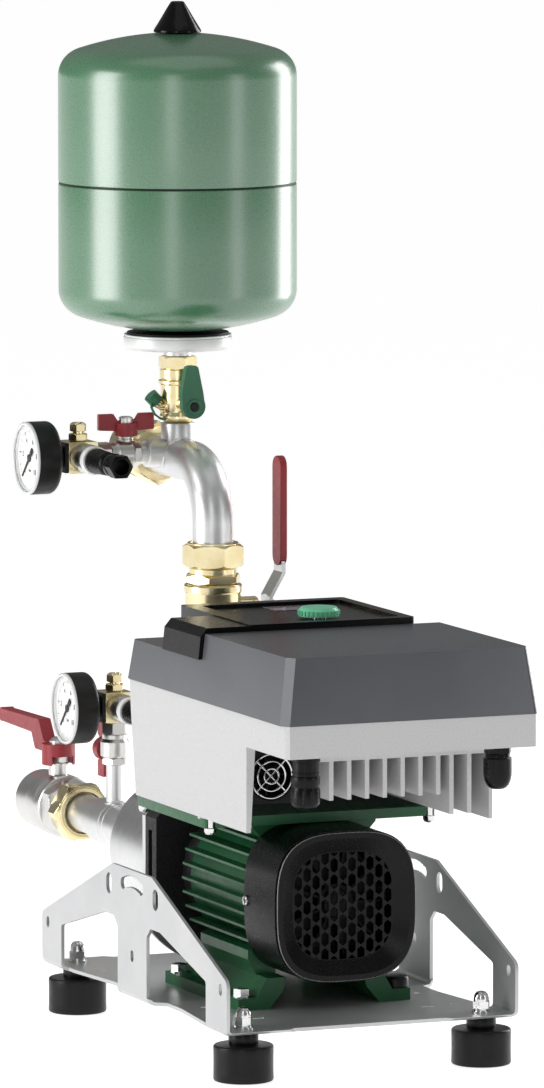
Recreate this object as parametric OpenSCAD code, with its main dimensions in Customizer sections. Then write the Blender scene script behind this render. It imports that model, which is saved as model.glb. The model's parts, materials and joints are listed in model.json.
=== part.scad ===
// Pressure-boosting set: a multistage pump on a finned motor with a frequency controller,
// on a bent sheet frame.
// The shaft runs along Y, the fan cover faces -Y and the suction line leaves at +Y.
// The origin is on the floor under the middle of the base.

/* [Base frame] */
// Width of the frame over its side panels
base_w = 262; // [256:1:300]
// Length of the frame
base_l = 422; // [412:1:470]
// Thickness of the frame's sheet
sheet_t = 3; // [2:0.5:4]
// Height of the side panels above the plate
panel_h = 107; // [102:1:125]
// Height of the panels' outer corners above the plate
panel_corner_h = 43; // [35:1:60]
// Length of the panels' level top edge
panel_top_l = 90; // [70:1:120]
// Width of the post between the two windows of a panel
post_w = 66; // [50:1:80]
// Width of the legs at the panels' ends
leg_w = 46; // [36:1:56]
// Diameter of a rubber buffer
foot_d = 50; // [40:1:56]
// Height of a rubber buffer
foot_h = 31; // [25:1:45]
// Room for the lock nut between a buffer and the plate
lock_nut_h = 9; // [6.5:0.5:12]
// Distance of a buffer's stud from the side panel's outer face
foot_inset_x = 24; // [20:1:30]
// Distance of a buffer's stud from the frame's end
foot_inset_y = 22.5; // [18:0.5:28]
// Diameter of the studs and bolts of the base
stud_d = 8; // [6:1:8]

/* [Motor] */
// Height of the shaft above the base plate
shaft_h = 90; // [88:1:104]
// Radius of the motor housing at the root of its fins
motor_r = 57; // [55:0.5:58]
// Thickness of the motor housing's wall
motor_wall = 5; // [4:0.5:7]
// Length of the motor housing
motor_l = 135; // [125:1:150]
// Place of the motor housing's fan end along the shaft
motor_y0 = -84; // [-90:1:-80]
// Half width of the fin outline level with the shaft
fin_reach = 64; // [61:0.5:66]
// Distance from fin to fin
fin_pitch = 12.1; // [11:0.1:12.5]
// Thickness of a fin
fin_t = 2.2; // [1.6:0.1:3]
// Radius of the shaft
shaft_r = 10; // [8:0.5:10]
// Diameter of the rotor core
rotor_d = 59.6; // [50:0.2:62]
// Radial air gap between the rotor and the stator
air_gap = 0.5; // [0.3:0.1:1]
// Share of the motor that the stator fills
core_part = 0.555; // [0.5:0.005:0.6]
// Distance between the foot bolts across the motor
foot_bolt_x = 140; // [138:1:142]
// Distance between the foot bolts along the motor
foot_bolt_y = 140; // [136:1:142]
// Width of the fan cover
cover_w = 127; // [125:1:130]
// Length of the fan cover
cover_l = 70; // [64:1:80]
// Wall of the fan cover
cover_wall = 2.2; // [1.8:0.1:3]
// Radius of the motor's fan
fan_r = 46; // [38:1:50]

/* [Pump] */
// Radius of the lantern's flange
lantern_r = 88; // [86:1:92]
// Width of the lantern's flange over its flats
lantern_w = 150; // [146:1:156]
// Thickness of the lantern's flange
lantern_t = 25; // [20:1:30]
// Length of the lantern's neck between motor and flange
lantern_neck = 34; // [30:1:40]
// Thickness of the clamp plate
clamp_t = 7; // [5:0.5:10]
// Outer diameter of the pump barrel
barrel_d = 120; // [118:1:124]
// Length of the pump barrel
barrel_l = 124.6; // [122:0.2:140]
// Wall of the pump barrel
barrel_wall = 2.5; // [2:0.1:3]
// Distance of the discharge port behind the clamp plate
port_back = 23.5; // [23:0.5:28]
// Diameter of an impeller
impeller_d = 90; // [80:1:94]

/* [Suction line] */
// Length of the suction nozzle behind the barrel
nozzle_l = 122.4; // [110:0.2:140]
// Outer radius of the suction nozzle
nozzle_r = 20.5; // [19.5:0.1:21]
// Inner radius of the suction line
suction_bore_r = 15; // [12:0.5:15.5]
// Length of the collar that carries the gauge stub
collar_l = 42; // [40:1:50]
// Length of the narrow tail pipe behind the collar
tail_l = 40; // [34:1:48]
// Outer radius of the tail pipe
tail_r = 16.75; // [16.7:0.05:17.2]
// Length of the union nut
union_l = 22; // [18:1:24]
// Length of the suction valve with its hexagon
suction_valve_l = 84; // [82:1:96]
// Distance of the suction valve's stem behind its hexagon end
suction_stem_back = 42; // [41:0.5:46]
// Length of the suction lever from its stem
suction_lever_l = 137; // [120:1:150]

/* [Discharge line] */
// Height of the discharge port's face above the shaft
port_h = 72; // [70:1:78]
// Length of the check valve
check_l = 94; // [92:1:104]
// Length of the discharge valve
discharge_valve_l = 87; // [86:0.5:96]
// Height of the discharge valve's stem above its lower end
discharge_stem_up = 51; // [50:0.5:54]
// Outer radius of the discharge pipe
pipe_r = 17.5; // [17:0.1:18]
// Wall of the discharge pipe
pipe_wall = 1.6; // [1.2:0.1:2.5]
// Bend radius of the discharge pipe
bend_r = 50; // [46:1:56]
// Height of the union nut above the discharge valve
discharge_union_h = 22; // [20:1:24]
// Length of straight pipe above the union nut
riser_l = 15; // [12:1:30]
// Distance of the tank's axis behind the riser
tank_back = 80.5; // [78:0.5:90]
// Length of the level pipe behind the tank's axis
level_l = 64; // [56:1:80]
// Reach of the discharge lever above its stem
discharge_lever_l = 130; // [110:1:150]

/* [Gauges] */
// Diameter of a gauge case
gauge_d = 63; // [50:1:66]
// Depth of a gauge case
gauge_depth = 24; // [22:1:34]
// Width of a gauge block
block_w = 27; // [25:1:29]
// Reach of the gauge valve's body
gauge_valve_l = 38.8; // [36:0.2:44]
// Length of a pressure sensor from its block
sensor_l = 94; // [80:1:100]
// Angle of a gauge's pointer at rest, from straight down
rest_angle = 45; // [0:1:60]

/* [Tank] */
// Diameter of the tank
tank_d = 206; // [180:1:220]
// Height of the tank's straight side
tank_side_h = 184; // [150:1:240]
// Rise of each end dome
dome_h = 37; // [30:1:46]
// Corner radius between side and dome
dome_corner_r = 26; // [18:1:32]
// Wall of the tank
tank_wall = 2; // [1.5:0.1:2.5]
// Length of the tank's shut-off valve
tank_valve_l = 64; // [63:0.5:73]
// Outer radius of the tank's flange ring
ring_r = 47; // [42:0.5:52]

/* [Controller] */
// Width of the controller at its parting line
ctrl_w = 227; // [222:1:236]
// Length of the controller at its parting line
ctrl_l = 348.6; // [344:0.2:360]
// Place of the controller's rear face along the shaft
ctrl_y1 = 57.6; // [54:0.2:60]
// Height of the support plate's underside above the shaft
plate_up = 64; // [63:0.5:68]
// Thickness of the support plate
plate_t = 8.5; // [6:0.5:10]
// Height of the housing's parting line above the support plate
parting_up = 100.1; // [98:0.1:110]
// Height of the cover above the parting line, at the front
cover_up = 55; // [48:0.5:60]
// Height of the cover above the parting line, at the rear
cover_rear_up = 33.5; // [30:0.5:36]
// Wall of the housing and of the cover
ctrl_wall = 3; // [2.4:0.1:4]
// Distance from heat sink fin to fin
sink_pitch = 16; // [15:0.5:16.5]
// Diameter of the operating knob
knob_d = 36; // [28:1:40]
// Height of the operating knob
knob_h = 7.5; // [6:0.5:14]

/* [Fits] */
// Radial clearance of a shaft or stem that turns
run_fit = 0.05; // [0.02:0.01:0.1]
// Clearance between pieces that are seated in each other
seat_fit = 0.02; // [0.01:0.01:0.05]
// Clearance between pieces that move past each other
body_gap = 0.3; // [0.2:0.05:0.5]

/* [Hidden] */
$fn = 48;
eps = 0.01;

// Heights above the floor
plate_z = foot_h + lock_nut_h;
deck_z = plate_z + sheet_t;
axis_z = deck_z + shaft_h;

// Base
foot_x = base_w / 2 - foot_inset_x;
foot_y = base_l / 2 - foot_inset_y;
bend_out = 6;
window_y0 = post_w / 2;
window_y1 = base_l / 2 - leg_w;
window_rise = 26;
nut_af = 13;
foot_bore_r = 3.4;
foot_bore_depth = 10;

// Motor, from the fan end to the pump end
motor_y1 = motor_y0 + motor_l;
motor_bore_r = motor_r - motor_wall;
core_l = motor_l * core_part;
core_y0 = motor_y0 + (motor_l - core_l) / 2 + 3;
bearing_w = 14;
bearing_r = 23.5;
rear_bearing_y = motor_y0 + 3;
cover_y0 = motor_y0 - cover_l;
lug_x = cover_w / 2 - cover_wall - body_gap;
rim_depth = 8;
grille_t = 2;
foot_bolt_mid_y = -25;
foot_w = 28;
foot_t = 10;
fan_y0 = cover_y0 + rim_depth + grille_t + 14;
fan_w = 16;

// Pump, from the motor to the suction line
lantern_y0 = motor_y1 + lantern_neck;
clamp_y0 = lantern_y0 + lantern_t;
barrel_y0 = clamp_y0 + clamp_t;
barrel_y1 = barrel_y0 + barrel_l;
barrel_r = barrel_d / 2;
barrel_in = barrel_r - barrel_wall;
port_y = barrel_y0 + port_back;
port_z = axis_z + port_h;
port_r = 22;
stage_count = 4;
stage_y0 = port_y + 20;
stage_pitch = (barrel_l - port_back - 31.1) / stage_count;
impeller_w = 11;
eye_r = 19;
flange_bolt_at = 55;
nozzle_y1 = barrel_y1 + nozzle_l;
stub_root_l = 20;

// Suction line
collar_y1 = nozzle_y1 + collar_l;
tail_y1 = collar_y1 + tail_l;
suction_valve_y0 = tail_y1 + union_l;
suction_stem_y = suction_valve_y0 + suction_stem_back;
suction_ball_r = 21;
suction_body_r = 28;
suction_gland_h = 44;
suction_stem_r = 5;
suction_thread_r = 20;
suction_thread_l = 16;
lever_hub_r = 15;
lever_z = axis_z + suction_gland_h;

// Lower gauge, on the suction collar
stub_r = 7.5;
stub_y = nozzle_y1 + 8;
lower_valve_z = axis_z + 53;
lower_block_z = lower_valve_z + gauge_valve_l + block_w / 2;

// Discharge line, straight up from the port
check_z1 = port_z + check_l;
discharge_valve_z1 = check_z1 + discharge_valve_l;
discharge_stem_z = check_z1 + discharge_stem_up;
discharge_ball_r = 17.5;
discharge_bore_r = 12.5;
discharge_union_z1 = discharge_valve_z1 + discharge_union_h;
bend_z0 = discharge_union_z1 + riser_l;
level_z = bend_z0 + bend_r;
level_y0 = port_y + bend_r;
tank_y = port_y + tank_back;
outlet_y0 = tank_y + level_l - 22;
outlet_l = 60;
outlet_thread_r = 20;
outlet_thread_l = 16;
pipe_in = pipe_r - pipe_wall;
check_seat_z = port_z + 26;
check_disc_r = 16.5;
lever_plane_x = 48.5;
grip_plane_x = 62;
grip_z0 = discharge_stem_z + 35;

// Upper gauge, on the level pipe's left side
branch_r = 12;
branch_l = 19.6;
upper_valve_x = -pipe_r - branch_l;
upper_block_x = upper_valve_x - gauge_valve_l - block_w / 2 - 3.4;
upper_z = level_z + 4.8;

// Gauge valve
gauge_ball_r = 8;
gauge_bore_r = 4;
gauge_stem_r = 3;
gauge_stem_at = 11.5;
gauge_body_r = 12.6;
gauge_gland_h = 16.2;
wing_span = 51;
wing_h = 13;
hub_r = 10.5;
vent_h = 16;
case_r = gauge_d / 2;
case_wall = 2;
dial_in = 5;
face_x = block_w / 2 + 11.5 + gauge_depth;
post_r = 1.5;

// Tank valve and tank
socket_z = level_z + pipe_r + 13.5;
socket_r = 14.5;
tank_valve_z1 = socket_z + tank_valve_l;
tank_stem_z = socket_z + 16.5;
tank_ball_r = 9;
tank_bore_r = 5;
tank_stem_r = 3.5;
tank_lever_out = 31;
drain_out = 13;
drain_up = 11.5;
ring_h = 13;
gasket_h = 2;
tank_z0 = tank_valve_z1 + ring_h + gasket_h;
side_z0 = tank_z0 + dome_h;
side_z1 = side_z0 + tank_side_h;
seam_z = (side_z0 + side_z1) / 2;
tank_top_z = side_z1 + dome_h;
tank_r = tank_d / 2;
tank_cap_h = 27;

// Controller, from the support plate up
ctrl_y0 = ctrl_y1 - ctrl_l;
plate_z0 = axis_z + plate_up;
plate_z1 = plate_z0 + plate_t;
parting_z = plate_z1 + parting_up;
wall_x = ctrl_w / 2 - 3;
apron_z = parting_z - 27;
lower_y0 = ctrl_y0 + 89;
lower_y1 = ctrl_y1 - 15;
lower_z = plate_z1 + 2;
rear_step_y = ctrl_y0 + 188;
cover_z = parting_z + cover_up;
cover_rear_z = parting_z + cover_rear_up;
plate_x = ctrl_w / 2 - 8.5;
plate_y0 = ctrl_y0 + 191;
plate_y1 = ctrl_y1 - 0.6;
screw_x = plate_x - 6;
screw_r = 3.2;
sink_z1 = apron_z - seat_fit;
sink_t = 6;
sink_front_z = plate_z1 + 57;
sink_short_z = plate_z1 + 24.5;
sink_long_z = plate_z1 + 7.5;
duct_x1 = -58;
duct_fan_x = -87;
duct_fan_z = plate_z1 + 47.5;
duct_fan_r = 18;
panel_z1 = cover_z + 5.5;
panel_x0 = -66;
panel_x1 = 84;
wing_x0 = -ctrl_w / 2 + 3.5;
wing_y1 = rear_step_y + 81;
knob_x = 15;
knob_y = rear_step_y + 45;
knob_travel = 2;
spindle_z = parting_z + 20;
knob_z = panel_z1 - 3 + knob_travel + body_gap;
gland_y = ctrl_y0 + 48;

// Points of an arc that rounds corner b between a and c
function corner_arc(a, b, c, r, n) =
    let (
        u = (a - b) / norm(a - b),
        v = (c - b) / norm(c - b),
        half = acos(max(-1, min(1, u * v))) / 2,
        mid = b + (u + v) / norm(u + v) * r / sin(half),
        p = b + u * r / tan(half) - mid,
        q = b + v * r / tan(half) - mid,
        a0 = atan2(p[1], p[0]),
        turn = atan2(p[0] * q[1] - p[1] * q[0], p * q)
    )
    [for (i = [0:n]) mid + r * [cos(a0 + turn * i / n), sin(a0 + turn * i / n)]];

// Outline with every corner rounded to radius r
function rounded(pts, r, n = 4) =
    let (k = len(pts))
    [for (i = [0:k - 1]) each corner_arc(pts[(i + k - 1) % k], pts[i], pts[(i + 1) % k], r, n)];

// Outline of a rounded square whose sides bulge, half width h
function bulged_square(h, n = 3.1, steps = 72) =
    [for (i = [0:steps - 1])
        let (a = 360 * i / steps, c = cos(a), s = sin(a))
        h * [sign(c) * pow(abs(c), 2 / n), sign(s) * pow(abs(s), 2 / n)]];

// Outline of an upright rectangle with rounded corners
module round_rect(w, h, r) {
    polygon(rounded([[-w / 2, -h / 2], [w / 2, -h / 2], [w / 2, h / 2], [-w / 2, h / 2]], r));
}

module up(z) {
    translate([0, 0, z]) children();
}

// Cylinder along +Y
module y_cyl(r, l) {
    rotate([-90, 0, 0]) cylinder(r = r, h = l);
}

// Cylinder on the shaft's axis from a place y
module shaft_cyl(y, r, l) {
    translate([0, y, axis_z]) y_cyl(r, l);
}

// Cylinder along +X
module x_cyl(r, l) {
    rotate([0, 90, 0]) cylinder(r = r, h = l);
}

// Solid turned about Y from [radius, y] points
module y_turned(pts) {
    rotate([-90, 0, 0]) rotate_extrude() polygon(pts);
}

// Solid turned about Z from [radius, z] points
module z_turned(pts) {
    rotate_extrude() polygon(pts);
}

// Profile in X and Z drawn from y0 to y1
module along_y(y0, y1) {
    translate([0, y1, 0]) rotate([90, 0, 0]) linear_extrude(y1 - y0) children();
}

// Profile in Y and Z drawn from x0 to x1
module along_x(x0, x1) {
    translate([x0, 0, 0]) rotate([90, 0, 90]) linear_extrude(x1 - x0) children();
}

// Hexagon prism of a width across flats
module hex(af, h) {
    cylinder(r = af / sqrt(3), h = h, $fn = 6);
}

// Ball with its bore along X and its stem along +Z
module valve_ball(ball_r, bore_r, stem_r, stem_h) {
    difference() {
        union() {
            sphere(ball_r);
            cylinder(r = stem_r, h = stem_h);
        }
        translate([-ball_r, 0, 0]) x_cyl(bore_r, 2 * ball_r);
    }
}

// Points at the four corners of a rectangle about the origin
module at_corners(x, y) {
    for (sx = [-1, 1], sy = [-1, 1])
        translate([sx * x, sy * y, 0]) children();
}

module panel_outline() {
    half = base_l / 2;
    top = panel_top_l / 2;
    polygon(rounded([
        [-half, plate_z], [half, plate_z], [half, deck_z + panel_corner_h],
        [top, deck_z + panel_h], [-top, deck_z + panel_h], [-half, deck_z + panel_corner_h]
    ], 8));
}

module panel_window() {
    low_top = deck_z + panel_corner_h - 6;
    high_top = low_top + window_rise;
    polygon(rounded([
        [window_y0, deck_z + 2], [window_y1, deck_z + 2], [window_y1, low_top],
        [window_y0 + 30, high_top], [window_y0 + 9, high_top], [window_y0, high_top - 8]
    ], 3));
}

// Kidney-shaped hand slot with a wavy edge
module hand_slot() {
    sweep_r = 60;
    for (a = [-20:5:20])
        translate([sweep_r * sin(a), deck_z + panel_h - 10 - sweep_r * (1 - cos(a)), 0])
            circle(r = 5.2);
}

module slot_2d(l, w) {
    for (s = [-1, 1])
        translate([s * (l - w) / 2, 0]) circle(d = w);
    square([l - w, w], center = true);
}

module base_frame() {
    color("gainsboro") difference() {
        along_y(-base_l / 2, base_l / 2) difference() {
            union() {
                translate([-base_w / 2, plate_z + bend_out])
                    square([base_w, panel_h + sheet_t - bend_out]);
                translate([-base_w / 2 + bend_out, plate_z]) square([base_w - 2 * bend_out, bend_out]);
                for (s = [-1, 1])
                    translate([s * (base_w / 2 - bend_out), plate_z + bend_out]) circle(r = bend_out);
            }
            translate([-base_w / 2 + sheet_t, plate_z + bend_out])
                square([base_w - 2 * sheet_t, panel_h + bend_out]);
            translate([-base_w / 2 + bend_out, deck_z]) square([base_w - 2 * bend_out, bend_out]);
            for (s = [-1, 1])
                translate([s * (base_w / 2 - bend_out), plate_z + bend_out])
                    circle(r = bend_out - sheet_t);
        }
        along_x(-base_w, base_w) difference() {
            translate([-base_l, 0]) square([2 * base_l, 2 * (deck_z + panel_h)]);
            panel_outline();
        }
        along_x(-base_w, base_w) {
            panel_window();
            mirror([1, 0]) panel_window();
            hand_slot();
            for (s = [-1, 1])
                translate([s * (panel_top_l / 2 + 8), deck_z + panel_h - 18]) rotate(90) slot_2d(18, 12);
            translate([0, deck_z + 34]) rotate(90) slot_2d(10, 7);
            for (s = [-1, 1])
                translate([s * (base_l / 2 - 14), deck_z + 35]) rotate(90) slot_2d(10, 7);
        }
        // Plate edges set back under the windows and between the end tabs
        for (mx = [0, 1], my = [0, 1])
            mirror([mx, 0, 0]) mirror([0, my, 0]) up(plate_z - 1) {
                linear_extrude(sheet_t + bend_out + 1) translate([base_w / 2, 0]) polygon([
                    [1, window_y0], [1, window_y1], [-6, window_y1], [-6, window_y1 - 15],
                    [-14, window_y0 + 44], [-14, window_y0 + 12]
                ]);
                linear_extrude(sheet_t + 2) translate([0, base_l / 2])
                    polygon([[-1, 9], [-1, -8], [68, -8], [77, 1], [77, 9]]);
            }
        at_corners(foot_x, foot_y) up(plate_z - 1)
            cylinder(d = stud_d + 0.6, h = sheet_t + 2);
        translate([0, foot_bolt_mid_y, plate_z - 1]) at_corners(foot_bolt_x / 2, foot_bolt_y / 2)
            cylinder(d = stud_d + 0.6, h = sheet_t + 2);
        up(plate_z - 1) linear_extrude(sheet_t + 2) {
            for (sx = [-1, 1], sy = [-1, 1]) {
                translate([sx * 77, sy * 146]) slot_2d(12, 5);
                translate([sx * 106, sy * 138]) slot_2d(10, 5);
                translate([sx * 97, sy * 77]) circle(r = 3);
            }
        }
    }
}

module rubber_feet() {
    color("dimgray") at_corners(foot_x, foot_y) difference() {
        z_turned([
            [0, 0], [foot_d / 2 - 1, 0], [foot_d / 2, 1], [foot_d / 2, foot_h - 2],
            [foot_d / 2 - 2, foot_h], [0, foot_h]
        ]);
        up(foot_h - 16) cylinder(d = stud_d + 2 * seat_fit, h = 17);
        up(-1) cylinder(r = foot_bore_r, h = foot_bore_depth + 1);
    }
}

// Stud, lock nut, washer and cap nut of one buffer
module buffer_stud() {
    up(foot_h - 15) cylinder(d = stud_d, h = deck_z - foot_h + 24);
    up(foot_h) hex(17, lock_nut_h);
    up(deck_z) cylinder(d = 16, h = 1.6);
    up(deck_z + 1.6) cylinder(d = 13, h = 2);
    up(deck_z + 3.6) hex(nut_af, 6);
    up(deck_z + 9.6) z_turned([
        [0, 0], [6.3, 0], [6.3, 3], [5.6, 5.6], [4, 7.6], [1.6, 8.4], [0, 8.5]
    ]);
}

// Hexagon bolt whose shank points down
module hex_bolt(shank_l, head_h = 5.5) {
    cylinder(d = 16, h = 1.6);
    up(1.6) hex(nut_af, head_h);
    up(-shank_l) cylinder(d = stud_d, h = shank_l + 1);
    up(1.6 + head_h) cylinder(r1 = 6, r2 = 5, h = 0.6);
}

module hex_fasteners() {
    color("silver") {
        at_corners(foot_x, foot_y) buffer_stud();
        translate([0, foot_bolt_mid_y, deck_z + foot_t]) at_corners(foot_bolt_x / 2, foot_bolt_y / 2)
            hex_bolt(foot_t + sheet_t + 4);
        translate([0, barrel_y0, axis_z]) rotate([-90, 0, 0]) at_corners(flange_bolt_at, flange_bolt_at)
            hex_bolt(lantern_t + clamp_t - 4);
    }
}

// Half width of the fin outline at a height dz off the shaft
function fin_x(dz) = fin_reach - dz * dz / 190;

module motor_foot() {
    half = foot_bolt_y / 2 + 12;
    x1 = foot_bolt_x / 2 + 8;
    top = axis_z - cover_w / 2 - body_gap;
    along_y(foot_bolt_mid_y - half, foot_bolt_mid_y + half) polygon([
        [x1 - foot_w, deck_z], [x1, deck_z], [x1, deck_z + foot_t], [x1 - 16, deck_z + foot_t],
        [x1 - 26, top], [x1 - 43, top], [x1 - 40, deck_z + 14]
    ]);
    // Rail that joins the foot to the housing
    along_y(motor_y0, motor_y1 - 30) polygon([
        [x1 - 43, top - 1], [x1 - 26, top - 1], [x1 - 18, axis_z - 51], [x1 - 18, axis_z - 43],
        [x1 - 43, axis_z - 34]
    ]);
}

module motor_frame() {
    color("seagreen") difference() {
        union() {
            shaft_cyl(motor_y0, motor_r, motor_l);
            for (i = [-3:4], s = [-1, 1]) {
                reach = fin_x(i * fin_pitch);
                root = sqrt(motor_r * motor_r - pow(i * fin_pitch, 2)) - 2;
                translate([s > 0 ? root : -reach, motor_y0, axis_z + i * fin_pitch - fin_t / 2])
                    cube([reach - root, motor_l + 3, fin_t]);
            }
            motor_foot();
            mirror([1, 0, 0]) motor_foot();
            // Lugs that the fan cover's screws hold
            for (s = [-1, 1])
                translate([s * (motor_bore_r + lug_x) / 2, motor_y0 - 4.5, axis_z])
                    cube([lug_x - motor_bore_r, 11, 12], center = true);
            // Pad under the controller's support plate
            along_y(motor_y0, motor_y1 - 12) polygon([
                [-56, plate_z0], [56, plate_z0], [56, plate_z0 - 4], [42, axis_z + motor_r - 12],
                [20, axis_z + motor_r - 14], [-20, axis_z + motor_r - 14],
                [-42, axis_z + motor_r - 12], [-56, plate_z0 - 4]
            ]);
        }
        shaft_cyl(motor_y0 + bearing_w + 5, motor_bore_r, motor_l);
        shaft_cyl(rear_bearing_y, bearing_r, motor_l);
        shaft_cyl(motor_y0 - 1, shaft_r + 2, 20);
        translate([0, foot_bolt_mid_y, deck_z - 1]) at_corners(foot_bolt_x / 2, foot_bolt_y / 2)
            cylinder(d = stud_d + 0.6, h = foot_t + 2);
        for (s = [-1, 1])
            translate([s * motor_bore_r, motor_y0 - 5, axis_z]) rotate([0, s * 90, 0])
                cylinder(r = 2 + seat_fit, h = 14);
    }
}

module stator() {
    color("peru") translate([0, core_y0, axis_z]) {
        difference() {
            y_cyl(motor_bore_r - seat_fit, core_l);
            translate([0, -1, 0]) y_cyl(rotor_d / 2 + air_gap, core_l + 2);
        }
        for (y = [-12, core_l])
            translate([0, y, 0]) y_turned([
                [34, 0], [47, 0], [49, 3], [49, 9], [47, 12], [34, 12], [33, 10], [33, 2]
            ]);
    }
}

module rotor_shaft() {
    color("lightsteelblue") up(axis_z) {
        translate([0, fan_y0 - 2, 0]) y_cyl(shaft_r - run_fit, rear_bearing_y - fan_y0 + 2);
        translate([0, rear_bearing_y, 0])
            y_cyl(shaft_r - run_fit, stage_y0 + stage_count * stage_pitch - rear_bearing_y - 4);
        translate([0, core_y0, 0]) y_cyl(rotor_d / 2, core_l);
        for (y = [core_y0 - 6, core_y0 + core_l])
            translate([0, y, 0]) difference() {
                y_cyl(rotor_d / 2 - 3, 6);
                translate([0, -1, 0]) y_cyl(rotor_d / 2 - 12, 8);
            }
    }
}

module bearing() {
    difference() {
        y_turned([
            [shaft_r, 1], [shaft_r + 1, 0], [bearing_r - 1.5, 0], [bearing_r - seat_fit, 1],
            [bearing_r - seat_fit, bearing_w - 1], [bearing_r - 1.5, bearing_w],
            [shaft_r + 1, bearing_w], [shaft_r, bearing_w - 1]
        ]);
        for (y = [-1, bearing_w - 1])
            translate([0, y, 0]) difference() {
                y_cyl(bearing_r - 4, 2);
                translate([0, -1, 0]) y_cyl(shaft_r + 3.5, 4);
            }
    }
}

module bearings() {
    color("silver") {
        translate([0, rear_bearing_y, axis_z]) bearing();
        translate([0, motor_y1 + 2, axis_z]) bearing();
    }
}

module motor_fan() {
    blades = 9;
    color("dimgray") translate([0, fan_y0, axis_z]) {
        difference() {
            union() {
                y_cyl(shaft_r + 6, fan_w);
                translate([0, fan_w - 2.5, 0]) y_cyl(fan_r, 2.5);
                for (i = [0:blades - 1])
                    rotate([0, i * 360 / blades, 0]) translate([shaft_r + 3, 0, -1])
                        cube([fan_r - shaft_r - 5, fan_w - 1, 2]);
            }
            translate([0, -1, 0]) y_cyl(shaft_r - run_fit + seat_fit, fan_w + 2);
        }
    }
}

module grille_hole(w, h) {
    polygon([[-w / 2, -h / 2 + 2.6], [0, -h / 2], [w / 2, -h / 2 + 2.6],
        [w / 2, h / 2 - 2.6], [0, h / 2], [-w / 2, h / 2 - 2.6]]);
}

module fan_cover() {
    half = cover_w / 2;
    window = half - 18;
    pitch_x = 8.1;
    pitch_z = 13.7;
    color("dimgray") up(axis_z) difference() {
        along_y(cover_y0, motor_y0) polygon(bulged_square(half));
        along_y(cover_y0 + rim_depth + grille_t, motor_y0 + 1)
            polygon(bulged_square(half - cover_wall));
        hull() {
            along_y(cover_y0 - 1, cover_y0) polygon(bulged_square(window + 12));
            along_y(cover_y0, cover_y0 + rim_depth) polygon(bulged_square(window));
        }
        along_y(cover_y0 - 2, cover_y0 + 20) intersection() {
            polygon(bulged_square(window - 0.5));
            for (i = [-5:5], j = [-4:4])
                translate([i * pitch_x, j * pitch_z + (abs(i) % 2) * pitch_z / 2])
                    grille_hole(pitch_x - 1.6, pitch_z - 1);
        }
        for (s = [-1, 1])
            translate([s * (half - 6), motor_y0 - 5, 0]) rotate([0, s * 90, 0]) cylinder(r = 2.3, h = 8);
        along_y(cover_y0 - 1, cover_y0 + 3) difference() {
            square(cover_w + 4, center = true);
            polygon(bulged_square(half - 1.6));
        }
    }
}

// Round-head screw along +Z
module pan_screw(head_r, head_h, shank_r, shank_l) {
    z_turned([
        [0, -shank_l], [shank_r, -shank_l], [shank_r, 0], [head_r, 0], [head_r, head_h * 0.5],
        [head_r * 0.8, head_h * 0.85], [head_r * 0.4, head_h], [0, head_h]
    ]);
}

module small_screws() {
    color("white") {
        for (s = [-1, 1])
            translate([s * cover_w / 2, motor_y0 - 5, axis_z]) rotate([0, s * 90, 0])
                pan_screw(4.5, 2.6, 2, 10);
        for (sx = [-1, 1], y = [plate_y0 + 3, plate_y1 - 6])
            translate([sx * screw_x, y, plate_z0]) mirror([0, 0, 1])
                pan_screw(5.2, 6, screw_r, plate_t + 1.5);
    }
}

module lantern() {
    color("dimgray") difference() {
        union() {
            translate([0, motor_y1 + 0.2, axis_z]) y_turned([
                [0, 0], [motor_r - 3, 0], [motor_r - 3, 6], [46, 14], [50, lantern_neck],
                [0, lantern_neck]
            ]);
            shaft_cyl(motor_y1 - 3, motor_bore_r - seat_fit, 4);
            along_y(lantern_y0, clamp_y0) translate([0, axis_z]) intersection() {
                circle(r = lantern_r);
                square([lantern_w, 2 * lantern_r], center = true);
            }
        }
        shaft_cyl(motor_y1 - 4, bearing_r, bearing_w + 6);
        shaft_cyl(motor_y1, shaft_r + 2, clamp_y0 - motor_y1 + 1);
        shaft_cyl(lantern_y0 - 8, 30, 24);
        for (s = [-1, 1])
            translate([s * lantern_w / 2, lantern_y0 + 14, axis_z + 14]) cube([16, 8, 42], center = true);
        translate([0, lantern_y0 - 1, axis_z]) rotate([-90, 0, 0])
            at_corners(flange_bolt_at, flange_bolt_at) cylinder(d = stud_d + 0.6, h = lantern_t + 2);
    }
}

module clamp_plate() {
    color("lightgray") difference() {
        along_y(clamp_y0, barrel_y0) translate([0, axis_z]) intersection() {
            circle(r = lantern_r);
            square([lantern_w, 2 * lantern_r], center = true);
        }
        shaft_cyl(clamp_y0 - 1, shaft_r + 2, clamp_t + 2);
        translate([0, clamp_y0 - 1, axis_z]) rotate([-90, 0, 0])
            at_corners(flange_bolt_at, flange_bolt_at) cylinder(d = stud_d + 0.6, h = clamp_t + 2);
    }
}

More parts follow.
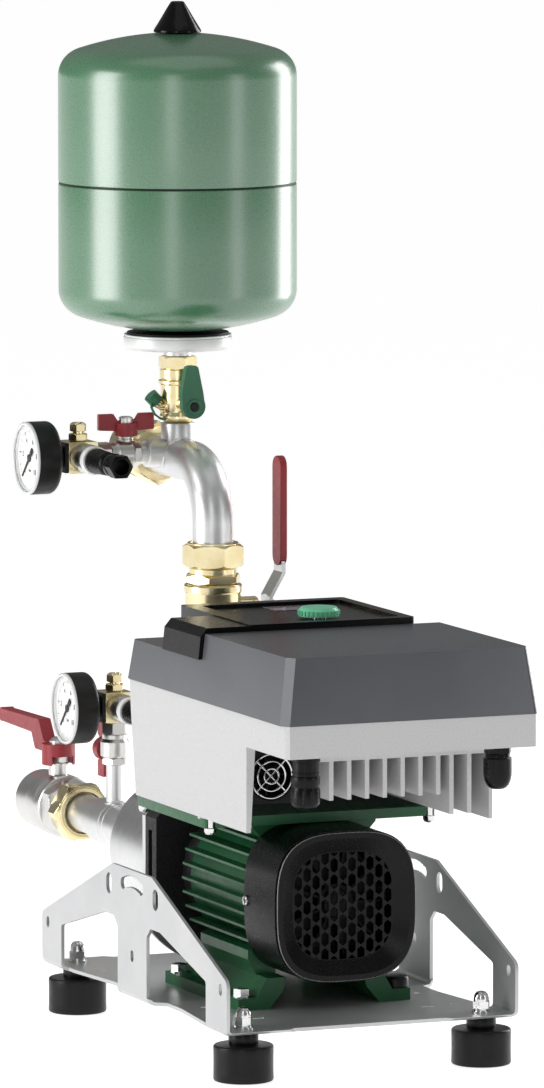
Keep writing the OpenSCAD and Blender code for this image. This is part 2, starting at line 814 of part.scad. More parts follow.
module pump_barrel() {
    corner = 12;
    color("whitesmoke") difference() {
        union() {
            translate([0, barrel_y0, axis_z]) y_turned([
                [0, 0], [barrel_r + 4, 0], [barrel_r + 4, 4], [barrel_r, 4],
                for (a = [0:15:90])
                    [barrel_r - corner + corner * cos(a), barrel_l - corner + corner * sin(a)],
                [0, barrel_l]
            ]);
            shaft_cyl(barrel_y1 - 1, nozzle_r, stub_root_l + 1);
            translate([0, port_y, axis_z]) cylinder(r = port_r, h = port_h);
            translate([0, port_y, port_z - 14]) hex(46, 14);
        }
        translate([0, barrel_y0 - 1, axis_z]) y_turned([
            [0, 0], [barrel_in, 0],
            for (a = [0:15:90])
                [barrel_r - corner + (corner - barrel_wall) * cos(a),
                    barrel_l + 1 - corner + (corner - barrel_wall) * sin(a)],
            [0, barrel_l - barrel_wall + 1]
        ]);
        shaft_cyl(barrel_y1 - 10, suction_bore_r, stub_root_l + 20);
        translate([0, port_y, axis_z]) cylinder(r = 14, h = port_h + 1);
    }
}

// One closed impeller with its eye facing +Y
module impeller() {
    blades = 6;
    difference() {
        union() {
            y_cyl(impeller_d / 2, 2);
            translate([0, impeller_w - 1.6, 0]) y_cyl(impeller_d / 2, 1.6);
            y_cyl(shaft_r + 4, impeller_w);
            translate([0, impeller_w - 1, 0]) y_cyl(eye_r - 1, 4);
            intersection() {
                y_cyl(impeller_d / 2, impeller_w - 1);
                for (i = [0:blades - 1])
                    rotate([0, i * 360 / blades, 0]) translate([26, 0, 0]) difference() {
                        y_cyl(26, impeller_w - 1);
                        translate([0, -1, 0]) y_cyl(24.4, impeller_w + 1);
                        translate([-30, -1, 0]) cube([60, impeller_w + 2, 30]);
                    }
            }
        }
        translate([0, -1, 0]) y_cyl(shaft_r - run_fit + seat_fit, impeller_w + 10);
        translate([0, 2, 0]) difference() {
            y_cyl(eye_r - 3, impeller_w + 4);
            translate([0, -1, 0]) y_cyl(shaft_r + 4, impeller_w + 6);
        }
    }
}

module impellers() {
    color("silver") for (i = [0:stage_count - 1])
        translate([0, stage_y0 + i * stage_pitch + 2, axis_z]) impeller();
}

module stage_chambers() {
    ribs = 8;
    wall_in = impeller_d / 2 + 4;
    color("gainsboro") for (i = [0:stage_count - 1])
        translate([0, stage_y0 + i * stage_pitch, axis_z]) {
            difference() {
                y_cyl(barrel_in - body_gap, stage_pitch);
                translate([0, -1, 0]) y_cyl(wall_in, stage_pitch - 1.4);
                translate([0, -1, 0]) y_cyl(eye_r + body_gap, stage_pitch + 2);
            }
            for (k = [0:ribs - 1])
                rotate([0, k * 360 / ribs, 0]) translate([wall_in - 2, 2, -0.75])
                    cube([3, stage_pitch - 4, 1.5]);
        }
}

module shaft_seal() {
    color("lightslategray") translate([0, barrel_y0 + body_gap, axis_z]) y_turned([
        [shaft_r - run_fit + seat_fit, 0], [17, 0], [17, 5], [15, 5], [15, 12], [18, 12], [18, 18],
        [shaft_r - run_fit + seat_fit, 18]
    ]);
}

module check_valve_body() {
    color("darkgoldenrod") translate([0, port_y, port_z + seat_fit]) difference() {
        union() {
            hex(42, 16);
            z_turned([
                [0, 15], [23, 15], [23, 20], [25.5, 26], [25.5, check_l - 30], [22, check_l - 22],
                [22, check_l - 15], [0, check_l - 15]
            ]);
            up(check_l - 16) hex(42, 16 - 2 * seat_fit);
        }
        difference() {
            union() {
                up(-1) cylinder(r = 13, h = check_l + 2);
                up(26) cylinder(r = 20, h = check_l - 58);
            }
            // Guide for the disc's spindle
            up(check_l - 42) difference() {
                union() {
                    cylinder(r = 6, h = 6);
                    for (a = [0:120:240])
                        rotate(a) translate([0, -1.5, 0]) cube([22, 3, 6]);
                }
                up(-1) cylinder(r = 3 + run_fit, h = 8);
            }
        }
    }
}

module check_valve_disc() {
    color("dimgray") translate([0, port_y, check_seat_z + 2 * seat_fit]) {
        cylinder(r = check_disc_r, h = 4);
        cylinder(r = 3, h = check_l - 26 - 36 + 2);
    }
}

module discharge_valve_body() {
    up = discharge_stem_up;
    color("goldenrod") translate([0, port_y, check_z1]) difference() {
        union() {
            hex(42, 17);
            z_turned([
                [0, 16], [21, 16], [21, 22], [24, 27], [24, up + 15], [25, up + 15.5], [25, up + 22],
                [0, up + 22]
            ]);
            up(up + 21.5) hex(44, 10.5);
            up(up + 31) cylinder(r = 20.5, h = discharge_valve_l - up - 31 - seat_fit);
            translate([20, 0, up]) x_cyl(9.5, 20);
            translate([20, 0, up]) rotate([0, 90, 0]) hex(17, 14);
        }
        up(-1) cylinder(r = discharge_bore_r, h = discharge_valve_l + 2);
        up(up) sphere(discharge_ball_r + body_gap);
        up(up) x_cyl(5 + run_fit, 60);
    }
}

module discharge_ball() {
    color("silver") translate([0, port_y, discharge_stem_z]) rotate([0, 90, 0]) {
        valve_ball(discharge_ball_r, discharge_bore_r, 5, lever_plane_x + 5);
        up(lever_plane_x + 3 + seat_fit) hex(10, 5);
    }
}

module discharge_lever() {
    top = discharge_stem_z + discharge_lever_l - 6;
    low = discharge_stem_z + 9;
    color("lightgray") difference() {
        union() {
            translate([lever_plane_x, port_y, discharge_stem_z]) x_cyl(11, 3);
            translate([0, port_y, 0]) along_y(-10, 10) polygon([
                [lever_plane_x, discharge_stem_z], [lever_plane_x + 3, discharge_stem_z],
                [lever_plane_x + 3, low - 0.6], [grip_plane_x + 1.5, grip_z0 - 6],
                [grip_plane_x + 1.5, top], [grip_plane_x - 1.5, top],
                [grip_plane_x - 1.5, grip_z0 - 5], [lever_plane_x, low + 0.6]
            ]);
        }
        translate([lever_plane_x - 1, port_y, discharge_stem_z]) x_cyl(5 + seat_fit, 5);
        for (s = [-1, 1])
            translate([lever_plane_x, port_y + s * 13, grip_z0 + 2]) translate([0, -5, 0])
                cube([20, 10, discharge_lever_l]);
    }
}

module discharge_grip() {
    top = discharge_stem_z + discharge_lever_l;
    color("firebrick") difference() {
        along_x(grip_plane_x - 3.2, grip_plane_x + 3.2)
            translate([port_y, (grip_z0 + top) / 2])
                polygon(rounded([[-9.5, -(top - grip_z0) / 2], [9.5, -(top - grip_z0) / 2],
                    [9.5, (top - grip_z0) / 2], [-9.5, (top - grip_z0) / 2]], 9));
        translate([grip_plane_x - 1.5 - seat_fit, port_y - 10, grip_z0 - 1])
            cube([3 + 2 * seat_fit, 20, 3]);
        translate([grip_plane_x - 1.5 - seat_fit, port_y - 8 - seat_fit, grip_z0 - 1])
            cube([3 + 2 * seat_fit, 16 + 2 * seat_fit, top - grip_z0 - 5 + seat_fit]);
    }
}

// Union nut along +Z over a pipe
module union_nut(af, h, pipe, cavity, cavity_h) {
    difference() {
        union() {
            hex(af, h);
            cylinder(r = af / 2 - 0.8, h = h + 1);
        }
        up(-1) cylinder(r = pipe + 0.15, h = h + 6);
        up(-1) cylinder(r = cavity + 0.15, h = cavity_h + 1);
    }
}

module union_nuts() {
    color("goldenrod") {
        translate([0, port_y, discharge_valve_z1 + body_gap]) rotate(30)
            union_nut(46, discharge_union_h - 1.3, pipe_r, 20.5, 6);
        translate([0, suction_valve_y0 - 0.2, axis_z]) rotate([90, 0, 0])
            union_nut(48, union_l - 1.2, tail_r, 20.5, 6);
        // Outlet socket of the discharge pipe
        translate([0, outlet_y0, level_z]) difference() {
            union() {
                rotate([-90, 0, 0]) rotate(30) hex(49, outlet_l - 22);
                y_cyl(25, outlet_l);
            }
            translate([0, -1, 0]) y_cyl(pipe_r + seat_fit, 17);
            translate([0, -1, 0]) y_cyl(pipe_in, outlet_l + 2);
            translate([0, outlet_l - outlet_thread_l, 0]) y_cyl(outlet_thread_r, outlet_thread_l + 1);
        }
    }
}

module discharge_pipe() {
    y1 = outlet_y0 + 15;
    color("gainsboro") difference() {
        union() {
            translate([0, port_y, discharge_valve_z1]) cylinder(r = pipe_r, h = bend_z0 - discharge_valve_z1);
            translate([0, port_y, discharge_valve_z1]) cylinder(r = 20.5, h = 5);
            translate([0, port_y + bend_r, bend_z0]) rotate([90, 0, -90]) rotate_extrude(angle = 90)
                translate([bend_r, 0]) circle(r = pipe_r);
            translate([0, level_y0, level_z]) y_cyl(pipe_r, y1 - level_y0);
            translate([0, tank_y, level_z]) cylinder(r = socket_r, h = socket_z - level_z);
            translate([-pipe_r - branch_l, tank_y, upper_z]) x_cyl(9, pipe_r + branch_l);
            translate([-pipe_r - branch_l + 6.6, tank_y, upper_z]) x_cyl(branch_r, pipe_r + branch_l - 6.6);
        }
        translate([0, port_y, discharge_valve_z1 - 1]) cylinder(r = pipe_in, h = bend_z0 - discharge_valve_z1 + 1);
        translate([0, port_y + bend_r, bend_z0]) rotate([90, 0, -90]) rotate_extrude(angle = 90)
            translate([bend_r, 0]) circle(r = pipe_in);
        translate([0, level_y0, level_z]) y_cyl(pipe_in, y1 - level_y0 + 1);
        translate([0, tank_y, level_z]) cylinder(r = 9, h = socket_z - level_z + 1);
        translate([-pipe_r - branch_l - 1, tank_y, upper_z]) x_cyl(gauge_bore_r, pipe_r + branch_l);
    }
}

// Gauge valve body with its flow along +Z and its stem along +X
module gauge_valve_body() {
    at = gauge_stem_at;
    difference() {
        union() {
            hex(20, 7);
            z_turned([
                [0, 4], [9, 4], [gauge_body_r, 7], [gauge_body_r, 22], [11, 24], [11, 28], [0, 28]
            ]);
            up(27) hex(20, gauge_valve_l - 27 - seat_fit);
            up(at) x_cyl(6, gauge_gland_h);
        }
        up(-1) cylinder(r = gauge_bore_r, h = gauge_valve_l + 2);
        up(at) sphere(gauge_ball_r + body_gap);
        up(at) x_cyl(gauge_stem_r + run_fit, gauge_gland_h + 1);
    }
}

// The lower gauge valve stands up, the upper lies along -X
module at_lower_valve() {
    translate([0, stub_y, lower_valve_z + seat_fit]) rotate([0, 0, 90]) children();
}

module at_upper_valve() {
    translate([upper_valve_x - seat_fit, tank_y, upper_z]) rotate([0, -90, 0]) children();
}

module gauge_valve_bodies() {
    color("silver") {
        at_lower_valve() gauge_valve_body();
        at_upper_valve() gauge_valve_body();
    }
}

// Ball and stem of a gauge valve, bore along Z and stem along +X
module gauge_ball() {
    up(gauge_stem_at) rotate([0, 90, 0])
        valve_ball(gauge_ball_r, gauge_bore_r, gauge_stem_r, gauge_gland_h + 13);
}

module lower_gauge_ball() {
    color("silver") at_lower_valve() gauge_ball();
}

module upper_gauge_ball() {
    color("silver") at_upper_valve() gauge_ball();
}

// Butterfly handle on a stem along +X, wings along Z
module butterfly() {
    x0 = gauge_gland_h + body_gap;
    half = wing_span / 2;
    up(gauge_stem_at) difference() {
        union() {
            translate([x0, 0, 0]) x_cyl(hub_r, 11);
            along_y(-2.2, 2.2) polygon(rounded([
                [x0 + 5, -half], [x0 + 6 + wing_h, -half], [x0 + 6 + wing_h, -12],
                [x0 + 13, -8], [x0 + 13, 8], [x0 + 6 + wing_h, 12],
                [x0 + 6 + wing_h, half], [x0 + 5, half], [x0 + 4, 9], [x0 + 4, -9]
            ], 0.8));
        }
        translate([x0 - 1, 0, 0]) x_cyl(gauge_stem_r + seat_fit, 30);
    }
}

module lower_gauge_handle() {
    color("firebrick") at_lower_valve() butterfly();
}

module upper_gauge_handle() {
    color("firebrick") at_upper_valve() butterfly();
}

// Gauge block centred on the origin, gauge on -X, sensor on -Y, vent on +Z
module gauge_block() {
    h = block_w / 2;
    difference() {
        along_y(-h, h) polygon(rounded([[-h, -h], [h, -h], [h, h], [-h, h]], 1.5));
        up(-h - 1) cylinder(r = 3, h = block_w + 2);
        translate([-h - 1, 0, 0]) x_cyl(3, h + 1);
        translate([0, -h - 1, 0]) y_cyl(5 + seat_fit, 10);
    }
}

module at_lower_block() {
    translate([0, stub_y, lower_block_z]) children();
}

module at_upper_block() {
    translate([upper_block_x, tank_y, upper_z]) children();
}

module gauge_blocks() {
    color("goldenrod") {
        at_lower_block() gauge_block();
        at_upper_block() difference() {
            union() {
                gauge_block();
                translate([block_w / 2 - 1, 0, 0]) x_cyl(8, upper_valve_x - gauge_valve_l - upper_block_x
                    - block_w / 2 + 1 - 2 * seat_fit);
            }
            x_cyl(3, 40);
        }
    }
}

module vent_screw() {
    up(block_w / 2 + seat_fit) difference() {
        union() {
            hex(15, 6);
            cylinder(r = 5, h = 9);
            up(8) hex(13, vent_h - 9);
            up(vent_h - 1) cylinder(r1 = 6, r2 = 5.2, h = 1);
        }
        up(vent_h - 3) translate([-8, -0.7, 0]) cube([16, 1.4, 4]);
    }
}

module vent_screws() {
    color("goldenrod") {
        at_lower_block() vent_screw();
        at_upper_block() vent_screw();
    }
}

// Gauge case with its dial plate, face to -X, its square shoulder on a block's -X face
module gauge_case() {
    translate([-face_x, 0, 0]) rotate([0, 90, 0]) {
        difference() {
            z_turned([
                [0, 0], [case_r - 1, 0], [case_r, 1], [case_r, gauge_depth - 4],
                [case_r - 3, gauge_depth], [0, gauge_depth]
            ]);
            up(-1) cylinder(r = case_r - case_wall - 1, h = gauge_depth - 2);
        }
        up(gauge_depth - 2) cylinder(r = 9, h = 11);
        up(gauge_depth + 8.5) linear_extrude(3 - seat_fit) square(block_w - 1, center = true);
        up(dial_in) difference() {
            cylinder(r = case_r - case_wall - 1 - seat_fit, h = 1);
            up(-1) cylinder(r = post_r + run_fit, h = 3);
        }
    }
}

module gauge_cases() {
    color("dimgray") {
        at_lower_block() gauge_case();
        at_upper_block() gauge_case();
    }
}

module gauge_glass() {
    translate([0.5 - face_x, 0, 0])
        x_cyl(case_r - case_wall - 1 - seat_fit, 1.6);
}

module gauge_glasses() {
    color("azure", 0.4) {
        at_lower_block() gauge_glass();
        at_upper_block() gauge_glass();
    }
}

// Pointer on its spindle in front of the dial
module pointer(angle) {
    translate([dial_in - body_gap - face_x, 0, 0]) rotate([angle, 0, 0]) {
        translate([-1, 0, 0]) x_cyl(post_r, 8);
        translate([-1, 0, 0]) x_cyl(3.4, 1);
        along_x(-0.8, 0) polygon([
            [-1.2, 3], [-2.4, 6], [-2.4, 11], [2.4, 11], [2.4, 6], [1.2, 3], [1.2, 0],
            [0.4, -case_r + 8], [-0.4, -case_r + 8], [-1.2, 0]
        ]);
    }
}

module upper_pointer() {
    color("black") at_upper_block() pointer(rest_angle);
}

module lower_pointer() {
    color("black") at_lower_block() pointer(rest_angle);
}

// Pressure sensor with its plug, along -Y from a block's face
module sensor() {
    translate([0, -block_w / 2 - seat_fit, 0]) rotate([90, 0, 0]) {
        up(-8) cylinder(r = 5, h = 9);
        z_turned([
            [0, 0], [11.5, 0], [12.5, 1], [12.5, 14], [11.5, 15], [11.5, 17], [10.5, 17],
            [10.5, sensor_l * 0.52], [9.2, sensor_l * 0.55], [9.2, sensor_l * 0.74], [8, sensor_l * 0.76],
            [8, sensor_l * 0.8], [0, sensor_l * 0.8]
        ]);
        difference() {
            up(sensor_l * 0.79) hex(19, sensor_l * 0.21);
            up(sensor_l - 8) cylinder(r = 6.5, h = 9);
        }
    }
}

module pressure_sensors() {
    color("dimgray") {
        at_lower_block() sensor();
        at_upper_block() sensor();
    }
}

module tank_valve_body() {
    l = tank_valve_l;
    stem = tank_stem_z - socket_z;
    color("goldenrod") translate([0, tank_y, socket_z + seat_fit]) difference() {
        union() {
            z_turned([
                [0, 0], [11, 0], [16, 4], [16, 6], [14, 9], [14.5, 12], [15, 22], [15, 33],
                [17, 33.5], [17, 36.5], [13, 37.5], [15.7, 38.5], [15.7, 47], [13, 47], [0, 47]
            ]);
            up(46.5) rotate(30) hex(29, l - 52.5);
            up(l - 11) cylinder(r = 13, h = 11 - 2 * seat_fit);
            up(stem) rotate([90, 0, 0]) cylinder(r = 7, h = tank_lever_out - body_gap);
            up(drain_up) rotate([0, -90, 0]) cylinder(r = 4.5, h = drain_out + 1);
            translate([-drain_out, 0, drain_up]) rotate([0, -45, 0]) cylinder(r = 4.5, h = 9);
        }
        up(-1) cylinder(r = tank_bore_r, h = l + 2);
        up(stem) sphere(tank_ball_r + body_gap);
        up(stem) rotate([90, 0, 0]) cylinder(r = tank_stem_r + run_fit, h = 60);
    }
}

module tank_valve_ball() {
    color("silver") translate([0, tank_y, tank_stem_z]) rotate([90, 0, 0]) rotate([0, 0, 90])
        valve_ball(tank_ball_r, tank_bore_r, tank_stem_r, tank_lever_out + 6);
}

module tank_valve_lever() {
    color("seagreen") translate([0, tank_y - tank_lever_out, tank_stem_z]) difference() {
        along_y(-7, 0) union() {
            circle(r = 10.5);
            polygon(rounded([[-10.5, -2], [10.5, -2], [8.5, 12], [3.6, 35.5], [-6.6, 35.5], [-11, 14]], 3.4));
        }
        translate([0, 1, 0]) rotate([90, 0, 0]) cylinder(r = tank_stem_r + seat_fit, h = 10);
    }
}

module drain_cap() {
    color("seagreen") translate([-drain_out, tank_y, socket_z + drain_up + seat_fit]) rotate([0, -45, 0]) {
        up(9.2) difference() {
            cylinder(r = 6.2, h = 9);
            up(-1) cylinder(r = 3, h = 3);
        }
        up(12) rotate([0, 0, 90]) along_y(-2, 2)
            polygon([[-6, 0], [3, 0], [3, 2], [-6, 2]]);
    }
}

module tank_ring() {
    color("whitesmoke") translate([0, tank_y, tank_valve_z1]) difference() {
        union() {
            z_turned([
                [0, 0], [ring_r - 4, 0], [ring_r - 1, 1], [ring_r, 4], [ring_r, ring_h - 1],
                [ring_r - 1, ring_h], [0, ring_h]
            ]);
            up(ring_h - 1) cylinder(r = ring_r - 3, h = gasket_h + 1 - seat_fit);
        }
        up(-1) cylinder(r = tank_bore_r + 2, h = ring_h + gasket_h + 2);
    }
}

// Outer profile of the tank between two heights, inset by a wall
function dome_pts(inset) =
    let (
        r = tank_r - inset,
        c = dome_corner_r,
        rise = dome_h - inset,
        k = rise / dome_h
    )
    [
        for (a = [0:10:60]) [r - c + c * cos(a), k * c * sin(a) * 0.95],
        for (t = [1:6])
            let (
                x0 = r - c + c * cos(60),
                y0 = k * c * sin(60) * 0.95,
                f = t / 6
            )
            [x0 * (1 - f), y0 + (rise - y0) * (1 - (1 - f) * (1 - f))]
    ];

module tank_half(height) {
    difference() {
        z_turned([[0, 0], [tank_r, 0], for (p = dome_pts(0)) [p[0], height + p[1]]]);
        up(-eps) z_turned([
                [0, 0], [tank_r - tank_wall, 0],
                for (p = dome_pts(tank_wall)) [p[0], height + p[1]]
            ]);
    }
}

module tank_upper_shell() {
    color("mediumseagreen") translate([0, tank_y, seam_z + 0.4]) difference() {
        tank_half(side_z1 - seam_z - 0.4);
        cylinder(r = 5, h = tank_top_z);
    }
}

module tank_lower_shell() {
    color("mediumseagreen") translate([0, tank_y, seam_z - 0.4]) mirror([0, 0, 1]) difference() {
        tank_half(seam_z - side_z0 - 0.4);
        cylinder(r = tank_bore_r + 2, h = tank_top_z);
    }
}

module tank_membrane() {
    color("black") translate([0, tank_y, seam_z]) {
        difference() {
            cylinder(r = tank_r - 0.6, h = 0.8, center = true);
            cylinder(r = tank_r - 14, h = 4, center = true);
        }
        up(-0.4) mirror([0, 0, 1]) difference() {
            z_turned([
                [0, 0], [tank_r - 6, 0], [tank_r - 8, 30], [tank_r - 22, 62], [tank_r - 60, 74], [0, 76]
            ]);
            up(-eps) z_turned([
                [0, 0], [tank_r - 8, 0], [tank_r - 10, 30], [tank_r - 24, 60], [tank_r - 61, 72], [0, 74]
            ]);
        }
    }
}

module tank_cap() {
    color("dimgray") translate([0, tank_y, tank_top_z + 0.15]) z_turned([
        [0, 0], [20.6, -0.5], [20, 2], [13.4, 13.5], [6.4, tank_cap_h - 2], [4.8, tank_cap_h], [0, tank_cap_h]
    ]);
}

module suction_pipe() {
    y0 = barrel_y1 + stub_root_l + seat_fit;
    color("whitesmoke") difference() {
        union() {
            up(axis_z) y_turned([
                [0, y0], [nozzle_r, y0], [nozzle_r, nozzle_y1 - 6], [nozzle_r - 0.5, nozzle_y1],
                [nozzle_r - 0.5, collar_y1 - 3], [nozzle_r - 3, collar_y1], [tail_r, collar_y1],
                [tail_r, suction_valve_y0 - 5.4], [20.5, suction_valve_y0 - 5.4],
                [20.5, suction_valve_y0 - seat_fit], [0, suction_valve_y0 - seat_fit]
            ]);
            translate([0, stub_y, axis_z]) cylinder(r = stub_r, h = lower_valve_z - axis_z);
        }
        shaft_cyl(y0 - 1, suction_bore_r, suction_valve_y0 - y0 + 2);
        translate([0, stub_y, axis_z]) cylinder(r = gauge_bore_r, h = lower_valve_z - axis_z + 1);
    }
}

module suction_valve_body() {
    l = suction_valve_l;
    s = suction_stem_back;
    color("silver") translate([0, suction_valve_y0, axis_z]) difference() {
        union() {
            rotate([-90, 0, 0]) rotate(30) hex(50, 20);
            y_turned([
                [0, 0.2], [24, 0.2], [24, 19], [suction_body_r, 20], [suction_body_r, 24], [26.5, 27],
                [suction_body_r, s - 8], [suction_body_r, s + 8], [26.5, s + 18], [26.5, l - 2],
                [25.5, l], [0, l]
            ]);
            translate([0, s, 20]) rotate(22.5) cylinder(r = 9, h = suction_gland_h - 20 - 6);
            translate([0, s, 22]) rotate(15) hex(15.5, suction_gland_h - 22 - body_gap);
        }
        translate([0, -1, 0]) y_cyl(suction_bore_r, l + 2);
        translate([0, l - suction_thread_l, 0]) y_cyl(suction_thread_r, suction_thread_l + 1);
        translate([0, s, 0]) sphere(suction_ball_r + body_gap);
        translate([0, s, 0]) cylinder(r = suction_stem_r + run_fit, h = suction_gland_h + 10);
    }
}

module suction_ball() {
    color("silver") translate([0, suction_stem_y, axis_z]) {
        rotate(90) valve_ball(suction_ball_r, suction_bore_r, suction_stem_r, suction_gland_h + 16);
        up(suction_gland_h + 11 + seat_fit)
            z_turned([[0, 0], [8, 0], [8, 2.5], [6.5, 4.5], [3.5, 6], [0, 6.4]]);
    }
}

module suction_lever() {
    z0 = lever_z;
    end = suction_lever_l;
    color("firebrick") translate([0, suction_stem_y, 0]) difference() {
        union() {
            up(z0) cylinder(r = lever_hub_r, h = 11);
            up(z0 - 8) cylinder(r = lever_hub_r, h = 9);
            along_x(-6, 6) polygon(rounded([
                [4, z0 + 1], [44, z0 + 1], [53, z0 + 15], [end - 8, z0 + 16], [end - 8, z0 + 27.5],
                [35, z0 + 29], [22, z0 + 11], [4, z0 + 11]
            ], 2));
            translate([-6, end - 7, z0 + 22]) x_cyl(6.4, 12);
        }
        up(z0 - 9) cylinder(r = lever_hub_r - 2.6, h = 9);
        translate([-lever_hub_r + 5, -20, z0 - 9]) cube([2 * lever_hub_r - 10, 40, 9]);
        up(z0 - 10) cylinder(r = suction_stem_r + seat_fit, h = 30);
    }
}

module support_plate() {
    color("seagreen") difference() {
        up(plate_z0) linear_extrude(plate_t) polygon(rounded([
            [-plate_x, plate_y0], [plate_x, plate_y0], [plate_x, plate_y1], [-plate_x, plate_y1]
        ], 6));
        for (sx = [-1, 1], y = [plate_y0 + 3, plate_y1 - 6])
            translate([sx * screw_x, y, plate_z0 - 1]) {
                cylinder(r = screw_r + run_fit, h = plate_t + 2);
                if (y < plate_y0 + 4)
                    translate([-screw_r - run_fit, -8, 0]) cube([2 * screw_r + 2 * run_fit, 8, plate_t + 2]);
            }
    }
}

module housing_profile(inset) {
    polygon([
        [ctrl_y0 + 1 + inset, apron_z], [ctrl_y0 + 1 + inset, parting_z],
        [ctrl_y1 - 1 - inset, parting_z], [ctrl_y1 - 4 - inset, apron_z],
        [lower_y1 - inset, lower_z], [lower_y0, lower_z], [lower_y0, apron_z]
    ]);
}

// Bosses for the plate screws, each joined to a wall
module screw_bosses() {
    for (sx = [-1, 1]) {
        for (y = [plate_y0 + 3, plate_y1 - 6])
            translate([sx * screw_x, y, plate_z1 + seat_fit]) cylinder(r = 5, h = 30);
        translate([sx > 0 ? screw_x : -wall_x + 1, plate_y0 + 1, plate_z1 + seat_fit])
            cube([wall_x - screw_x - 1, 4, 30]);
        translate([sx * screw_x - 2.5, lower_y1 - 4, plate_z1 + seat_fit])
            cube([5, plate_y1 - 6 - lower_y1 + 4, 30]);
    }
}

module controller_housing() {
    color("whitesmoke") difference() {
        union() {
            along_x(-wall_x, wall_x) housing_profile(0);
            screw_bosses();
            along_y(lower_y0 - 1.6, lower_y0) polygon([[-wall_x, lower_z], [4 - wall_x, lower_z],
                [8 - wall_x, apron_z + 1], [-wall_x, apron_z + 1]]);
        }
        // Room for the electronics above the floor
        along_x(-wall_x + ctrl_wall, wall_x - ctrl_wall) polygon([
            [ctrl_y0 + 1 + ctrl_wall, apron_z + ctrl_wall], [ctrl_y0 + 1 + ctrl_wall, parting_z + 1],
            [ctrl_y1 - 1 - ctrl_wall, parting_z + 1], [ctrl_y1 - 4 - ctrl_wall, apron_z + ctrl_wall]
        ]);
        // Room for the heat sink below it
        difference() {
            along_x(-wall_x + ctrl_wall, wall_x - ctrl_wall) polygon([
                [lower_y0 - 1, lower_z - 1], [lower_y0 - 1, apron_z - eps], [lower_y0, apron_z],
                [lower_y1 - ctrl_wall - 2, apron_z], [lower_y1 - ctrl_wall - 2, lower_z - 1]
            ]);
            screw_bosses();
        }
        for (sx = [-1, 1], y = [plate_y0 + 3, plate_y1 - 6])
            translate([sx * screw_x, y, plate_z1 - 1]) cylinder(r = screw_r + seat_fit, h = 10);
        // Cable openings in the overhang's floor
        for (x = [-74.5, 97])
            translate([x, gland_y, apron_z - 1]) cylinder(r = 8 + seat_fit, h = ctrl_wall + 2);
        for (x = [-40, -4, 32, 66])
            translate([x, gland_y, apron_z - 1]) linear_extrude(ctrl_wall + 2) slot_2d(24, 12);
    }
}

// Slab with rounded corners and drafted walls
module drafted_block(w0, l0, z0, w1, l1, z1, mid_y) {
    hull() {
        translate([0, mid_y, z0]) linear_extrude(0.5) round_rect(w0, l0, 6);
        translate([0, mid_y, z1 - 0.5]) linear_extrude(0.5) round_rect(w1, l1, 6);
    }
}

module cover_solid(inset) {
    mid = (ctrl_y0 + ctrl_y1) / 2;
    w = ctrl_w - 2 * inset;
    l = ctrl_l - 2 * inset;
    drafted_block(w, l, parting_z + seat_fit, w - 15, l - 12, cover_z - inset, mid);
}

module controller_cover() {
    color("dimgray") difference() {
        cover_solid(0);
        difference() {
            up(-eps) cover_solid(ctrl_wall);
            translate([-ctrl_w, rear_step_y - ctrl_wall, cover_rear_z - ctrl_wall])
                cube([2 * ctrl_w, ctrl_l, 100]);
        }
        translate([-ctrl_w, rear_step_y, cover_rear_z]) cube([2 * ctrl_w, ctrl_l, 100]);
        translate([knob_x, knob_y, parting_z]) cylinder(r = 8, h = 100);
    }
}

module heat_sink() {
    y0 = lower_y0 + 0.5;
    y1 = lower_y1 - ctrl_wall - 3;
    w = wall_x - ctrl_wall - body_gap - duct_x1;
    fin_x0 = duct_x1 + 22;
    color("silver") {
        translate([duct_x1, y0, sink_z1 - sink_t]) cube([w, y1 - y0, sink_t]);
        translate([duct_x1, y0, sink_front_z]) cube([w, 4, sink_z1 - sink_front_z]);
        for (i = [0:6])
            translate([fin_x0 + i * sink_pitch, y0, sink_short_z]) cube([4, y1 - y0, sink_z1 - sink_short_z]);
        // The last two fins reach down beside the support plate's edge
        for (i = [7, 8])
            translate([fin_x0 + i * sink_pitch - 4, y0, sink_long_z]) cube([4, y1 - y0, sink_z1 - sink_long_z]);
        translate([duct_x1, y0, sink_short_z]) cube([3, y1 - y0, sink_z1 - sink_short_z]);
    }
}

module circuit_board() {
    z = parting_z - 12;
    color("darkgreen") {
        translate([-wall_x + 12, ctrl_y0 + 14, z]) cube([2 * wall_x - 24, ctrl_l - 40, 1.6]);
        // Encoder under the knob's spindle
        translate([knob_x, knob_y, z + 1]) cylinder(r = 9, h = spindle_z - knob_travel - body_gap - z - 1);
        for (sx = [-1, 1], y = [ctrl_y0 + 30, ctrl_y1 - 40])
            translate([sx * (wall_x - 22), y, apron_z + ctrl_wall + seat_fit])
                cylinder(r = 4, h = z - apron_z - ctrl_wall);
        for (i = [0:3])
            translate([-70, ctrl_y0 + 60 + i * 34, z + 1]) cylinder(r = 13, h = 26);
        translate([-20, ctrl_y0 + 50, z + 1]) cube([46, 38, 20]);
        translate([44, ctrl_y0 + 60, z + 1]) cube([30, 56, 14]);
    }
}

